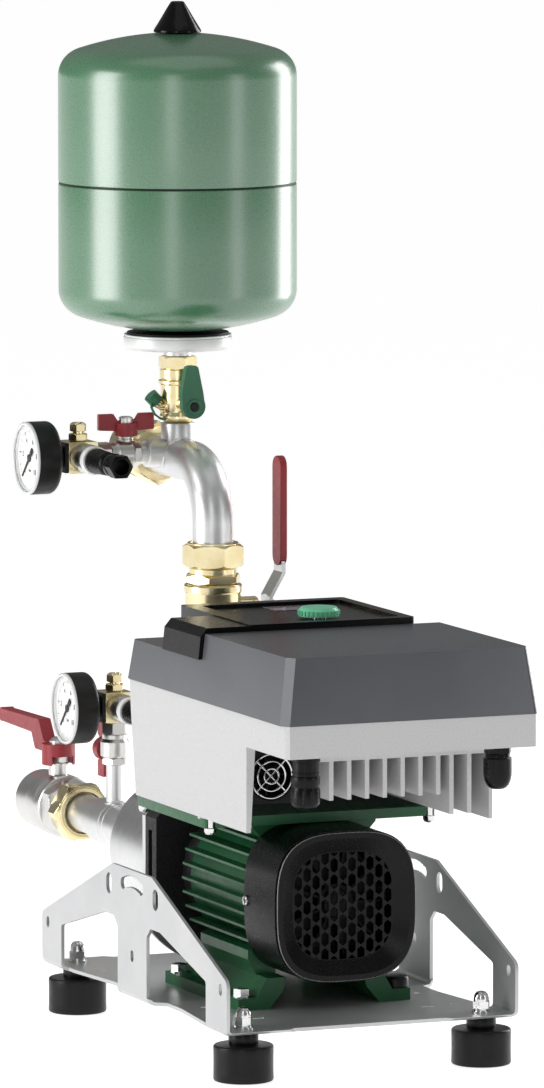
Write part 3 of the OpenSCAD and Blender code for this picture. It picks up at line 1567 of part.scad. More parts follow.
module panel_frame() {
    z0 = cover_rear_z + seat_fit;
    y0 = rear_step_y + 0.5;
    y1 = ctrl_y1 - 4.5;
    color("dimgray") difference() {
        union() {
            up(z0) linear_extrude(panel_z1 - z0) polygon(rounded([
                [panel_x0, y0], [panel_x1, y0], [panel_x1, y1], [panel_x0, y1]
            ], 4));
            // Wing that hangs over the left edge of the cover
            along_y(y0, wing_y1) polygon([
                [panel_x0 + 8, z0], [panel_x0 + 8, panel_z1 - 1], [wing_x0 + 6, panel_z1 - 1],
                [wing_x0, panel_z1 - 8], [wing_x0 - 2, z0]
            ]);
        }
        // Recess for the window
        up(panel_z1 - 3) linear_extrude(4) polygon(rounded([
            [panel_x0 + 14, y0 + 10], [panel_x1 - 10, y0 + 10], [panel_x1 - 10, y1 - 14],
            [panel_x0 + 14, y1 - 14]
        ], 4));
        // Hollow underside around the spindle's guide
        difference() {
            up(z0 - 1) linear_extrude(panel_z1 - z0 - 6) polygon(rounded([
                [panel_x0 + 3, y0 + 3], [panel_x1 - 3, y0 + 3], [panel_x1 - 3, y1 - 3],
                [panel_x0 + 3, y1 - 3]
            ], 2));
            translate([knob_x, knob_y, z0 - 2]) cylinder(r = 9, h = 40);
        }
        translate([knob_x, knob_y, z0 - 1]) cylinder(r = 6 + run_fit, h = 60);
        translate([knob_x, knob_y, panel_z1 - 3]) cylinder(r = knob_d / 2 + 1, h = 4);
    }
}

module knob_spindle() {
    color("silver") translate([knob_x, knob_y, 0]) {
        up(spindle_z) cylinder(r = 6, h = knob_z - body_gap - spindle_z);
        up(knob_z - 1) cylinder(r = 3, h = knob_h - 2);
    }
}

module operating_knob() {
    ribs = 30;
    r = knob_d / 2;
    color("mediumseagreen") translate([knob_x, knob_y, knob_z]) difference() {
        union() {
            z_turned([[0, 0], [r - 0.8, 0], [r - 0.8, knob_h - 2.5], [r - 3, knob_h], [0, knob_h]]);
            for (i = [0:ribs - 1])
                rotate(i * 360 / ribs) translate([r - 1.4, -0.8, 1]) cube([1.4, 1.6, knob_h - 3.6]);
        }
        up(-1) cylinder(r = 3 + run_fit, h = knob_h - 1.5);
    }
}

module cooling_fan() {
    blades = 7;
    color("dimgray") translate([duct_fan_x, lower_y0 + 5, duct_fan_z]) {
        difference() {
            y_cyl(5, 8);
            translate([0, 2.5, 0]) y_cyl(1.5 + run_fit, 8);
        }
        for (i = [0:blades - 1])
            rotate([0, i * 360 / blades, 0]) rotate([28, 0, 0]) translate([4, 1, -0.6])
                cube([duct_fan_r - 5, 6, 1.2]);
    }
}

module fan_guard() {
    x0 = -wall_x + ctrl_wall + body_gap;
    x1 = duct_x1 - body_gap;
    y = lower_y0;
    z0 = plate_z1 + 9.5;
    z1 = apron_z - body_gap;
    r = duct_fan_r;
    color("dimgray") {
        difference() {
            translate([x0, y + 1, z0]) cube([x1 - x0, 2, z1 - z0]);
            translate([duct_fan_x, y, duct_fan_z]) y_cyl(r, 5);
        }
        // Finger guard, and the rear spider with the fan's pin
        translate([duct_fan_x, y + 1, duct_fan_z]) {
            for (ring = [r * 0.35, r * 0.68, r])
                difference() {
                    y_cyl(ring + 0.7, 1.4);
                    translate([0, -1, 0]) y_cyl(ring - 0.7, 4);
                }
            for (a = [45, 135])
                rotate([0, a, 0]) translate([-r, 0, -0.7]) cube([2 * r, 1.4, 1.4]);
            translate([0, 14, 0]) {
                for (a = [0, 90])
                    rotate([0, a, 0]) translate([-r - 1.5, 0, -1]) cube([2 * r + 3, 2, 2]);
                translate([0, -7, 0]) y_cyl(1.5, 8);
            }
            difference() {
                y_cyl(r + 2, 16);
                translate([0, -1, 0]) y_cyl(r + 0.8, 18);
            }
        }
    }
}

// Cable gland with a ribbed body
module cable_gland(r, l) {
    z_turned([
        [0, ctrl_wall + 3], [8, ctrl_wall + 3], [8, 0], [r, 0], [r, -6], [r - 1.5, -7],
        [r - 1.5, -l + 10], [r - 0.5, -l + 8], [r * 0.85, -l + 3], [r * 0.5, -l], [0, -l]
    ]);
    for (i = [0:7])
        rotate(i * 45) translate([r - 2.5, -1, -l + 9]) cube([2, 2, l - 16]);
}

module cable_glands() {
    color("dimgray") {
        translate([-74.5, gland_y, apron_z - seat_fit]) cable_gland(12, 46);
        translate([97, gland_y, apron_z - seat_fit]) cable_gland(12, 40);
    }
}

base_frame();
rubber_feet();
hex_fasteners();
motor_frame();
stator();
rotor_shaft();
bearings();
motor_fan();
fan_cover();
small_screws();
lantern();
clamp_plate();
pump_barrel();
impellers();
stage_chambers();
shaft_seal();
check_valve_body();
check_valve_disc();
discharge_valve_body();
discharge_ball();
discharge_lever();
discharge_grip();
union_nuts();
discharge_pipe();
gauge_valve_bodies();
upper_gauge_ball();
upper_gauge_handle();
lower_gauge_ball();
lower_gauge_handle();
gauge_blocks();
vent_screws();
gauge_cases();
gauge_glasses();
upper_pointer();
lower_pointer();
pressure_sensors();
tank_valve_body();
tank_valve_ball();
tank_valve_lever();
drain_cap();
tank_ring();
tank_lower_shell();
tank_upper_shell();
tank_membrane();
tank_cap();
suction_pipe();
suction_valve_body();
suction_ball();
suction_lever();
support_plate();
controller_housing();
controller_cover();
heat_sink();
circuit_board();
panel_frame();
knob_spindle();
operating_knob();
cooling_fan();
fan_guard();
cable_glands();
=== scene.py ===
import json
import math

import bmesh
import bpy
from mathutils import Matrix, Vector

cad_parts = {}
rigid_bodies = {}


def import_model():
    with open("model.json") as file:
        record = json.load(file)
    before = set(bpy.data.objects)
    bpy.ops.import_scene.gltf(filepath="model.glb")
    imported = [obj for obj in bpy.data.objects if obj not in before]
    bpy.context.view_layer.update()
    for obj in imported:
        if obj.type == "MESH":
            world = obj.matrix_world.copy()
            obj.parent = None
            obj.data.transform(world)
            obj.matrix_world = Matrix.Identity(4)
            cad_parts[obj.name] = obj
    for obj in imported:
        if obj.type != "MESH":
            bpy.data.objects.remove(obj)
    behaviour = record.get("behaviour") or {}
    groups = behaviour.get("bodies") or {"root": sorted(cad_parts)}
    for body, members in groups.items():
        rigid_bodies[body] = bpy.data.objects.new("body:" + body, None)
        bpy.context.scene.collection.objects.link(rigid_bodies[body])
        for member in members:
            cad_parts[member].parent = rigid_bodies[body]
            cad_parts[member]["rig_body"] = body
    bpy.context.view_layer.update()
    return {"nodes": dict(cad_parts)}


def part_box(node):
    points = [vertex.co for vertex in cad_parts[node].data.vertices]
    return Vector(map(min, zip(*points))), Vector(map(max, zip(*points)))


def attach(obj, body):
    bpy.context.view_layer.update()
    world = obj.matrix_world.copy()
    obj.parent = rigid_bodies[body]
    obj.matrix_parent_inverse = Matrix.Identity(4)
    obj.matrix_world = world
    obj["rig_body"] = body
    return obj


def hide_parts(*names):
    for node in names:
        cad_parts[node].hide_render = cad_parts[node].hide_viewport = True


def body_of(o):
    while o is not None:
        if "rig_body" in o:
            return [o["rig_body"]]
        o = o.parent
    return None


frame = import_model()

# The photographer's camera.
# The set is seen from its front left, a little above level, through a long lens from a few
# metres away, so its upright edges stay upright and its sides hardly converge.
camera_turn = math.radians(-22.51)
camera_rise = math.radians(6.33)
camera_distance = 7.3577
aimed_at = Vector((-0.00291, 0.00121, 0.42044))
towards_camera = Vector((
    math.sin(camera_turn) * math.cos(camera_rise),
    -math.cos(camera_turn) * math.cos(camera_rise),
    math.sin(camera_rise)))

lens = bpy.data.cameras.new("camera")
lens.sensor_width = 36.0
lens.lens = 288.77
lens.clip_end = 200.0
camera = bpy.data.objects.new("camera", lens)
camera.location = aimed_at + towards_camera * camera_distance
camera.rotation_euler = (-towards_camera).to_track_quat("-Z", "Y").to_euler()
bpy.context.scene.collection.objects.link(camera)
bpy.context.scene.camera = camera

# Studio: floor, lights and sky.
# A plain white floor that runs on to the horizon, tall softboxes at both sides, two weak
# strips in front and a small lamp overhead, in a room that is dim at eye level.


class Value:
    """A number that varies over a surface. A comparison with it adds a Math node."""

    def __init__(self, finish, socket):
        self.finish = finish
        self.socket = socket

    def __gt__(self, limit):
        return self.finish.node("ShaderNodeMath", {"operation": "GREATER_THAN"}, {0: self, 1: limit})

    def __lt__(self, limit):
        return self.finish.node("ShaderNodeMath", {"operation": "LESS_THAN"}, {0: self, 1: limit})


class Finish:
    """A surface finish: one shader whose patterns follow the piece itself, in metres."""

    def __init__(self, slot, name, constants):
        self.slot = slot
        self.material = bpy.data.materials.new(name)
        self.material.use_nodes = True
        self.tree = self.material.node_tree
        self.shader = self.tree.nodes["Principled BSDF"]
        for socket, value in constants.items():
            self.put(self.shader, socket, value)

    def put(self, node, socket, value):
        if isinstance(value, Value):
            self.tree.links.new(value.socket, node.inputs[socket])
        else:
            node.inputs[socket].default_value = value

    def surface(self, socket, value):
        self.put(self.shader, socket, value)

    def node(self, kind, settings, inputs, output=0):
        made = self.tree.nodes.new(kind)
        for key, value in settings.items():
            setattr(made, key, value)
        for socket, value in inputs.items():
            self.put(made, socket, value)
        return Value(self, made.outputs[output])

    def place(self, stretch):
        """Coordinates of the piece, stretched along its axes."""
        return self.node("ShaderNodeMapping", {}, {0: self.node("ShaderNodeTexCoord", {}, {}, 3), 3: stretch})

    def noise(self, scale, detail=3.0, roughness=0.5, stretch=(1, 1, 1)):
        return self.node("ShaderNodeTexNoise", {}, {
            "Vector": self.place(stretch), "Scale": scale, "Detail": detail, "Roughness": roughness})

    def cells(self, scale):
        return self.node("ShaderNodeTexVoronoi", {}, {"Vector": self.place((1, 1, 1)), "Scale": scale})

    def mix(self, factor, first, second):
        return self.node("ShaderNodeMix", {"data_type": "RGBA"}, {0: factor, 6: first, 7: second}, 2)

    def spread(self, value, low, high, start=0.3, end=0.7):
        """Turns a noise into a number between two limits."""
        return self.node("ShaderNodeMapRange", {}, {
            0: value, 1: start, 2: end, 3: low, 4: high})

    def tinted(self, factor, first, second):
        """The base colour drifts between two tones of a paint chart."""
        self.surface("Base Color", self.mix(factor, tone(*first), tone(*second)))

    def worn(self, value, low, high):
        """The roughness drifts between two limits."""
        self.surface("Roughness", self.spread(value, low, high))

    def relief(self, height, depth):
        """Bump of a height pattern, its depth in metres."""
        self.surface("Normal", self.node("ShaderNodeBump", {}, {
            "Strength": 1.0, "Distance": depth, "Height": height}))


def tone(red, green, blue):
    """A colour as a paint chart gives it, 0 to 255, turned linear."""
    def linear(part):
        part = part / 255.0
        return part / 12.92 if part <= 0.04045 else ((part + 0.055) / 1.055) ** 2.4
    return (linear(red), linear(green), linear(blue), 1.0)


floor_white = Finish(None, "floor_white", {
    "Roughness": 0.9, "Emission Color": (1, 1, 1, 1), "Emission Strength": 0.81})
floor_white.surface("Base Color", floor_white.mix(
    floor_white.noise(3.0), (0.60, 0.60, 0.60, 1.0), (0.62, 0.62, 0.62, 1.0)))

floor_mesh = bmesh.new()
bmesh.ops.create_circle(floor_mesh, cap_ends=True, segments=64, radius=60.0)
bmesh.ops.translate(floor_mesh, verts=floor_mesh.verts, vec=(0, 0, -0.0005))
floor_data = bpy.data.meshes.new("studio_floor")
floor_mesh.to_mesh(floor_data)
floor_mesh.free()
floor_data.materials.append(floor_white.material)
floor = bpy.data.objects.new("studio_floor", floor_data)
bpy.context.scene.collection.objects.link(floor)


def softbox(name, turn, rise, distance, width, height, power):
    """A soft lamp at a turn round the set's middle, measured from the front to the right."""
    lamp = bpy.data.lights.new(name, "AREA")
    lamp.shape = "RECTANGLE"
    lamp.size, lamp.size_y = width, height
    lamp.energy = power
    turn, rise = math.radians(turn), math.radians(rise)
    out = Vector((math.sin(turn) * math.cos(rise), -math.cos(turn) * math.cos(rise), math.sin(rise)))
    lit = bpy.data.objects.new(name, lamp)
    lit.location = Vector((0.0, 0.12, 0.42)) + out * distance
    lit.rotation_euler = out.to_track_quat("Z", "Y").to_euler()
    bpy.context.scene.collection.objects.link(lit)


softbox("softbox_left", -97, 4, 2.4, 1.15, 2.6, 50)
softbox("softbox_right", 106, 6, 2.4, 0.95, 2.6, 46)
softbox("strip_front", -28, 14, 3.2, 0.55, 2.2, 8)
softbox("strip_right", 38, 8, 3.0, 0.6, 2.2, 7)
softbox("softbox_top", 20, 84, 2.4, 2.2, 2.2, 7)

sky = bpy.data.worlds.new("studio_room")
sky.use_nodes = True
bpy.context.scene.world = sky
sky_nodes = sky.node_tree.nodes
sky_links = sky.node_tree.links
direction = sky_nodes.new("ShaderNodeTexCoord")
height_of = sky_nodes.new("ShaderNodeSeparateXYZ")
bands = sky_nodes.new("ShaderNodeValToRGB")
sky_links.new(direction.outputs["Generated"], height_of.inputs[0])
sky_links.new(height_of.outputs["Z"], bands.inputs[0])
sky_links.new(bands.outputs[0], sky_nodes["Background"].inputs["Color"])
for element, (place, grey) in zip(bands.color_ramp.elements, ((0.0, 0.22), (1.0, 0.30))):
    element.position, element.color = place, (grey, grey, grey, 1.0)
for place, grey in ((0.16, 0.17), (0.34, 0.24), (0.6, 0.30)):
    bands.color_ramp.elements.new(place).color = (grey, grey, grey, 1.0)
sky_nodes["Background"].inputs["Strength"].default_value = 1.0
bpy.context.scene.view_settings.view_transform = "Standard"

# Base frame.
# A tray and two side panels bent from one sheet of stainless steel. The sheet is bead
# blasted, so it is satin and faintly speckled, and its laser-cut edges are just broken.
MM = 0.001


def finish_mesh(name, mesh, finish, body, replaced=(), crease=35.0):
    """Makes a shaded object of a mesh in metres, sets it on its body and hides the CAD nodes it replaces."""
    for face in mesh.faces:
        face.smooth = True
    for edge in mesh.edges:
        edge.smooth = len(edge.link_faces) == 2 and edge.calc_face_angle(0.0) < math.radians(crease)
    data = bpy.data.meshes.new(name)
    mesh.to_mesh(data)
    mesh.free()
    if "custom_normal" in data.attributes:
        data.attributes.remove(data.attributes["custom_normal"])
    data.materials.clear()
    data.materials.append(finish.material)
    data.polygons.foreach_set("material_index", [0] * len(data.polygons))
    piece = bpy.data.objects.new(name, data)
    bpy.context.scene.collection.objects.link(piece)
    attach(piece, body)
    if replaced:
        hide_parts(*replaced)
    return piece


def merged_copy(node):
    """A copy of a machined part's mesh with its loose triangles joined to whole faces."""
    mesh = bmesh.new()
    mesh.from_mesh(frame["nodes"][node].data)
    bmesh.ops.remove_doubles(mesh, verts=mesh.verts, dist=0.02 * MM)
    bmesh.ops.dissolve_limit(mesh, angle_limit=math.radians(0.4), verts=mesh.verts, edges=mesh.edges)
    return mesh


def break_edges(piece, width, sharpest=30.0, segments=2):
    """Rounds every edge sharper than an angle, as deburring or a mould radius does."""
    rounding = piece.modifiers.new("broken_edges", "BEVEL")
    rounding.width = width * MM
    rounding.segments = segments
    rounding.limit_method = "ANGLE"
    rounding.angle_limit = math.radians(sharpest)
    rounding.harden_normals = True
    rounding.use_clamp_overlap = True
    return piece


def dressed(node, finish, width, segments=2):
    """A CAD node with its edges broken, standing where the node stands."""
    body = body_of(frame["nodes"][node])
    body = body if isinstance(body, str) else body[0]
    piece = finish_mesh(node + "_piece", merged_copy(node), finish, body, (node,))
    return break_edges(piece, width, segments=segments)


def coated(node, finish):
    """A CAD node that is kept as it is and only gets its finish."""
    kept = frame["nodes"][node]
    for entry in kept.material_slots:
        entry.material = finish.material


blasted_steel = Finish("sheet_steel", "blasted_steel", {"Metallic": 0.58})
speckle = blasted_steel.noise(900.0, 2.0)
cloud = blasted_steel.noise(14.0, 3.0)
blasted_steel.tinted(blasted_steel.spread(cloud, 0.0, 1.0), (192, 193, 194), (206, 206, 207))
blasted_steel.worn(speckle, 0.30, 0.44)
blasted_steel.relief(speckle, 0.00006)
dressed("base_frame", blasted_steel, 0.5)

# Rubber buffers.
# Four round rubber buffers with a bonded disc on top and a steel bush moulded in below.
# Moulded, so the rims are rounded and the flank is slightly waisted. A black rubber collar
# over each lock nut is painted shade under the plate.


def turned(profile, axis="Z", at=(0, 0, 0), steps=96, turn=0.0):
    """Turns a profile about an axis through a place, in mm. A row of the profile is a radius
    and a height, and where a spanner fits also the distance over the flats of a hexagon. A
    profile that starts off the axis is closed, so it makes a ring."""
    mesh = bmesh.new()
    over_flats = mesh.verts.layers.float.new("over_flats")
    outline = []
    for radius, height, *flats in profile:
        corner = mesh.verts.new((radius, 0.0, height))
        corner[over_flats] = flats[0] if flats else 0.0
        outline.append(corner)
    sides = [mesh.edges.new(pair) for pair in zip(outline, outline[1:])]
    if profile[0][0] > 0:
        sides.append(mesh.edges.new((outline[-1], outline[0])))
    bmesh.ops.spin(mesh, geom=outline + sides, cent=(0, 0, 0), axis=(0, 0, 1), dvec=(0, 0, 0),
                   angle=math.tau, steps=steps, use_merge=True, use_duplicate=False)
    bmesh.ops.remove_doubles(mesh, verts=mesh.verts, dist=0.001)
    for corner in mesh.verts:
        if corner[over_flats]:
            angle = math.atan2(corner.co.y, corner.co.x)
            off = (angle - math.radians(turn)) % (math.pi / 3) - math.pi / 6
            reach = math.hypot(corner.co.x, corner.co.y)
            shrink = min(1.0, corner[over_flats] / 2 / math.cos(off) / reach)
            corner.co.x *= shrink
            corner.co.y *= shrink
    bmesh.ops.recalc_face_normals(mesh, faces=mesh.faces)
    lay = {"X": Matrix.Rotation(math.pi / 2, 4, "Y"), "-X": Matrix.Rotation(-math.pi / 2, 4, "Y"),
           "Y": Matrix.Rotation(-math.pi / 2, 4, "X"), "-Y": Matrix.Rotation(math.pi / 2, 4, "X"),
           "Z": Matrix.Identity(4)}[axis]
    mesh.transform(Matrix.Scale(MM, 4) @ Matrix.Translation(at) @ lay)
    return mesh


def joined(meshes):
    """Several meshes as one."""
    whole = bmesh.new()
    for part in meshes:
        data = bpy.data.meshes.new("part")
        part.to_mesh(data)
        part.free()
        whole.from_mesh(data)
        bpy.data.meshes.remove(data)
    return whole


buffer_rubber = Finish("rubber", "buffer_rubber", {"Specular IOR Level": 0.25})
grain = buffer_rubber.noise(420.0, 3.0)
buffer_rubber.tinted(buffer_rubber.spread(buffer_rubber.noise(30.0), 0, 1), (10, 10, 10), (15, 15, 15))
buffer_rubber.worn(grain, 0.30, 0.42)
buffer_rubber.relief(grain, 0.00005)

buffer_profile = [
    (0.0, 14.0), (5.0, 14.0), (5.0, 0.6), (5.6, 0.0), (23.2, 0.0), (24.4, 0.5), (25.0, 1.8), (24.85, 8.0),
    (24.8, 15.5), (24.85, 23.0), (25.0, 28.0), (24.7, 29.2), (24.0, 29.8), (23.6, 30.0), (22.8, 30.2),
    (0.0, 31.0)]
buffer_places = [(x, y, 0) for x in (-107, 107) for y in (-188.5, 188.5)]
buffers = joined([turned(buffer_profile, at=place) for place in buffer_places])
finish_mesh("rubber_buffers", buffers, buffer_rubber, "set", ("rubber_feet",), crease=40)
# Black rubber collars over the lock nuts: painted shade under the support plate.
spacer_profile = [(10.0, 30.4), (12.0, 30.4), (12.4, 31.4), (12.4, 38.8), (11.8, 39.8), (10.0, 39.8)]
spacers = joined([turned(spacer_profile, at=place, steps=64) for place in buffer_places])
finish_mesh("buffer_shade_collars", spacers, buffer_rubber, "set")

# Studs, nuts and screws.
# Bright zinc-plated fasteners: cap nuts and washers on the buffers' studs, hexagon bolts on
# the motor feet and the flange, and small screws.
bright_zinc = Finish("zinc", "bright_zinc", {"Metallic": 1.0})
bright_zinc.tinted(bright_zinc.noise(120.0), (212, 212, 213), (230, 230, 228))
bright_zinc.worn(bright_zinc.noise(200.0, 2.0), 0.14, 0.18)
dressed("hex_fasteners", bright_zinc, 0.35)
dressed("small_screws", bright_zinc, 0.2)

# Cap on the front right motor bolt.
# A black plastic cap snapped over the bolt's head, with a rounded rim, as moulded.
cap_black = Finish("black_plastic", "cap_black", {"Specular IOR Level": 0.35})
cap_black.tinted(cap_black.noise(60.0), (9, 9, 9), (13, 13, 13))
cap_black.worn(cap_black.noise(500.0), 0.3, 0.44)
bolt_cap = turned([(0, 53.2), (10.2, 53.2), (10.6, 53.6), (10.6, 60.4), (10.1, 61.8), (9.0, 62.6),
                   (0, 62.8)], at=(70, -95, 0))
finish_mesh("bolt_cap", bolt_cap, cap_black, "set")

# Motor frame and support plate.
# A die-cast aluminium motor housing with cooling fins and screwed-on feet, painted in a
# deep green gloss that has run a little into the corners, as has the plate above it.
motor_paint = Finish("motor_green", "motor_paint", {"Specular IOR Level": 0.35, "Coat Roughness": 0.15})
skin = motor_paint.noise(160.0, 2.0)
motor_paint.tinted(motor_paint.spread(motor_paint.noise(18.0), 0, 1), (26, 82, 48), (32, 94, 56))
motor_paint.worn(skin, 0.30, 0.42)
motor_paint.surface("Coat Weight", 0.08)
motor_paint.relief(skin, 0.00012)
dressed("motor_frame", motor_paint, 0.5)
dressed("support_plate", motor_paint, 0.5)

# Motor internals.
# Wound stator, bearings and the shaft, which the housing hides: laminated steel that is
# varnished, ground bearing rings and a turned shaft.
laminations = Finish("core_steel", "laminations", {"Metallic": 0.7, "Roughness": 0.45})
layers = laminations.noise(60.0, 2.0, stretch=(0.2, 40.0, 0.2))
laminations.tinted(layers, (84, 78, 72), (120, 84, 60))
coated("stator", laminations)

ground_steel = Finish("steel", "ground_steel", {"Metallic": 1.0})
ground_steel.tinted(ground_steel.noise(40.0), (178, 180, 183), (196, 197, 199))
ground_steel.worn(ground_steel.noise(220.0), 0.18, 0.32)
coated("rotor_shaft", ground_steel)
coated("knob_spindle", ground_steel)
coated("bearings", bright_zinc)

# Fan cover and fan.
# The fan cover is moulded in black plastic with a honeycomb grille; the light grey bead round
# its rim is a painted highlight of the rim edge. The fan behind it and its hub cap are dull black,
# and a black ring in front of the fins, in place of the motor's green end shield, is painted shade.
black_moulding = Finish("black_plastic", "black_moulding", {"Specular IOR Level": 0.2})
erosion = black_moulding.noise(700.0, 2.0)
black_moulding.tinted(black_moulding.spread(black_moulding.noise(26.0), 0, 1), (4, 4, 4), (7, 7, 7))
black_moulding.worn(erosion, 0.24, 0.34)
black_moulding.relief(erosion, 0.00004)
dressed("fan_cover", black_moulding, 0.7, segments=3)

dull_black = Finish("black_plastic", "dull_black", {"Specular IOR Level": 0.2})
dull_black.tinted(dull_black.noise(60.0), (5, 5, 5), (9, 9, 9))
dull_black.worn(dull_black.noise(300.0), 0.45, 0.6)
# The motor fan's near-black is its own black made darker: painted shade inside the fan cover.
coated("motor_fan", dull_black)
coated("cooling_fan", dull_black)
shaft = (0, 0, 133)
hub_cap = turned([(0.0, -133.4), (9.0, -133.4), (11.4, -132.8), (12.4, -131.6), (12.4, -130.2),
                  (10.3, -130.2), (10.3, -132.2), (0.0, -132.2)], axis="Y", at=shaft, steps=64)
finish_mesh("fan_hub_cap", hub_cap, dull_black, "rotor")


def bulged_square(half, y, steps=144, power=3.1):
    """Points of the fan cover's outline, a square with bulged sides, in a plane of Y, in mm."""
    outline = []
    for step in range(steps):
        c, s = math.cos(math.tau * step / steps), math.sin(math.tau * step / steps)
        outline.append((math.copysign(half * abs(c) ** (2 / power), c), y,
                        shaft[2] + math.copysign(half * abs(s) ** (2 / power), s)))
    return outline


def drawn(mesh, outlines, around=False):
    """Draws a closed outline on through others of equal count, in mm, and where asked round to
    the first again. Returns the edges of both ends."""
    order = mesh.verts.layers.int.get("order") or mesh.verts.layers.int.new("order")
    corners = [mesh.verts.new(point) for point in outlines[0]]
    for place, corner in enumerate(corners):
        corner[order] = place
    first = rim = [mesh.edges.new(pair) for pair in zip(corners, corners[1:] + corners[:1])]
    for points in outlines[1:] + (outlines[:1] if around else []):
        grown = bmesh.ops.extrude_edge_only(mesh, edges=rim)["geom"]
        rim = [part for part in grown if isinstance(part, bmesh.types.BMEdge)]
        for corner in grown:
            if isinstance(corner, bmesh.types.BMVert):
                corner.co = points[corner[order]]
    return first, rim


def closed_up(mesh):
    """A mesh in mm with its doubles merged and its faces turned outwards, in metres."""
    bmesh.ops.remove_doubles(mesh, verts=mesh.verts, dist=0.001)
    bmesh.ops.recalc_face_normals(mesh, faces=mesh.faces)
    mesh.transform(Matrix.Scale(MM, 4))
    return mesh


def ring_of(outlines):
    """A closed band through outlines of equal count, the last joined to the first, in mm."""
    band = bmesh.new()
    drawn(band, outlines, around=True)
    return closed_up(band)


# A black ring in front of the fins, in place of the motor's green end shield: painted shade inside the fan
# cover.
draught_ring = ring_of([bulged_square(52.0, -86.4, power=2.0), bulged_square(60.9, -86.4),
                        bulged_square(60.9, -85.2), bulged_square(52.0, -85.2, power=2.0)])
finish_mesh("draught_ring", draught_ring, dull_black, "set")
# The bead's light grey colour is a painted highlight of the fan cover's rim edge.
rim_black = Finish("black_plastic", "rim_black", {"Specular IOR Level": 0.6})
rim_black.tinted(rim_black.noise(60.0), (112, 112, 113), (128, 128, 129))
rim_black.worn(rim_black.noise(400.0), 0.16, 0.24)
bead = 0.8
rim_bead = ring_of([bulged_square(61.7 + bead * math.cos(math.tau * part / 10),
                                  -153.1 + bead * math.sin(math.tau * part / 10)) for part in range(10)])
finish_mesh("fan_cover_highlight_bead", rim_bead, rim_black, "set")

# Lantern.
# The cast-iron lantern between motor and pump, sand cast and painted matt black. Lighter
# grey specks on its rough skin are painted glints of the grains.
cast_black = Finish("black_metal", "cast_black", {"Specular IOR Level": 0.5})
sand = cast_black.noise(420.0, 4.0, 0.65)
# Lighter grey specks in the base colour: painted glints on the sand-cast grains.
glint = cast_black.spread(cast_black.cells(520.0), 1.0, 0.0, 0.04, 0.16)
cast_black.tinted(glint, (5, 5, 5), (46, 46, 46))
cast_black.worn(sand, 0.42, 0.75)
cast_black.relief(sand, 0.0006)
dressed("lantern", cast_black, 0.8)

# Pump.
# Barrel, clamp plate, impellers and stage chambers in stainless steel. The barrel is rolled
# and polished round its axis, so its brushing runs round it.
pump_steel = Finish("stainless", "pump_steel", {"Metallic": 1.0})
brushing = pump_steel.noise(60.0, 3.0, 0.6, stretch=(1.0, 30.0, 1.0))
pump_steel.tinted(pump_steel.spread(pump_steel.noise(9.0), 0, 1), (206, 207, 208), (222, 222, 223))
pump_steel.worn(brushing, 0.24, 0.38)
pump_steel.relief(brushing, 0.000012)
riser = (0, 140.5, 0)


def hexed(flats, low, high):
    """Profile rows of a hexagon whose corners are turned off at 30 degrees."""
    rows = ((0.484, 0.0), (0.50, 0.009), (0.515, 0.018), (0.53, 0.027), (0.545, 0.036), (0.56, 0.045),
            (0.5775, 0.055))
    bottom = [(flats * reach, low + flats * rise, flats) for reach, rise in rows]
    top = [(flats * reach, high - flats * rise, flats) for reach, rise in reversed(rows)]
    return bottom + top


def rounded_corner(radius, height, corner, first, last, steps=8):
    """Profile rows of a quarter round, its centre inside the corner."""
    return [(radius + corner * math.cos(math.radians(first + (last - first) * step / steps)),
             height + corner * math.sin(math.radians(first + (last - first) * step / steps)))
            for step in range(steps + 1)]


barrel_profile = (
    [(55.0, 117.1), (63.3, 117.1), (64.0, 117.8), (64.0, 120.3), (63.3, 121.0), (60.8, 121.0),
     (60.0, 121.8)] + rounded_corner(48.0, 229.6, 12.0, 0, 84)
    + [(24.0, 241.6), (21.6, 242.0), (20.5, 243.4), (20.5, 261.5), (15.2, 261.5), (15.2, 238.0),
       (55.0, 232.0)])
barrel = turned(barrel_profile, axis="Y", at=shaft, steps=160)
port = turned([(14.0, 180.0), (22.0, 180.0), (22.0, 190.0)] + hexed(46, 191.0, 205.0)
              + [(14.2, 205.0)], at=riser)
finish_mesh("pump_barrel_piece", joined([barrel, port]), pump_steel, "set", ("pump_barrel",), crease=20)
dressed("clamp_plate", pump_steel, 0.4)
for node in ("impellers", "stage_chambers", "shaft_seal"):
    coated(node, pump_steel)

# Check valve and discharge valve.
# Hot-pressed brass bodies, machined on the spanner flats and left bright. The valve's gland
# comes out on the right, under the lever.
bright_brass = Finish("brass", "bright_brass", {"Metallic": 1.0})
tarnish = bright_brass.noise(60.0, 4.0, 0.6)
bright_brass.tinted(bright_brass.spread(tarnish, 0, 1), (236, 218, 166), (246, 234, 194))
bright_brass.worn(bright_brass.noise(110.0, 2.0), 0.21, 0.24)

check_body = turned(
    [(13.0, 205.1)] + hexed(42, 205.1, 221.0) + [(22.4, 221.4), (23.0, 222.0), (23.0, 225.0)]
    + [(23.6, 227.6), (25.0, 230.2), (25.5, 232.0), (25.5, 268.0), (25.0, 271.0), (23.0, 275.6),
       (22.0, 277.6), (22.0, 283.0)] + hexed(42, 283.1, 298.8) + [(13.0, 298.8)],
    at=riser)
finish_mesh("check_valve_piece", check_body, bright_brass, "set", ("check_valve_body",), crease=16)
coated("check_valve_disc", bright_brass)

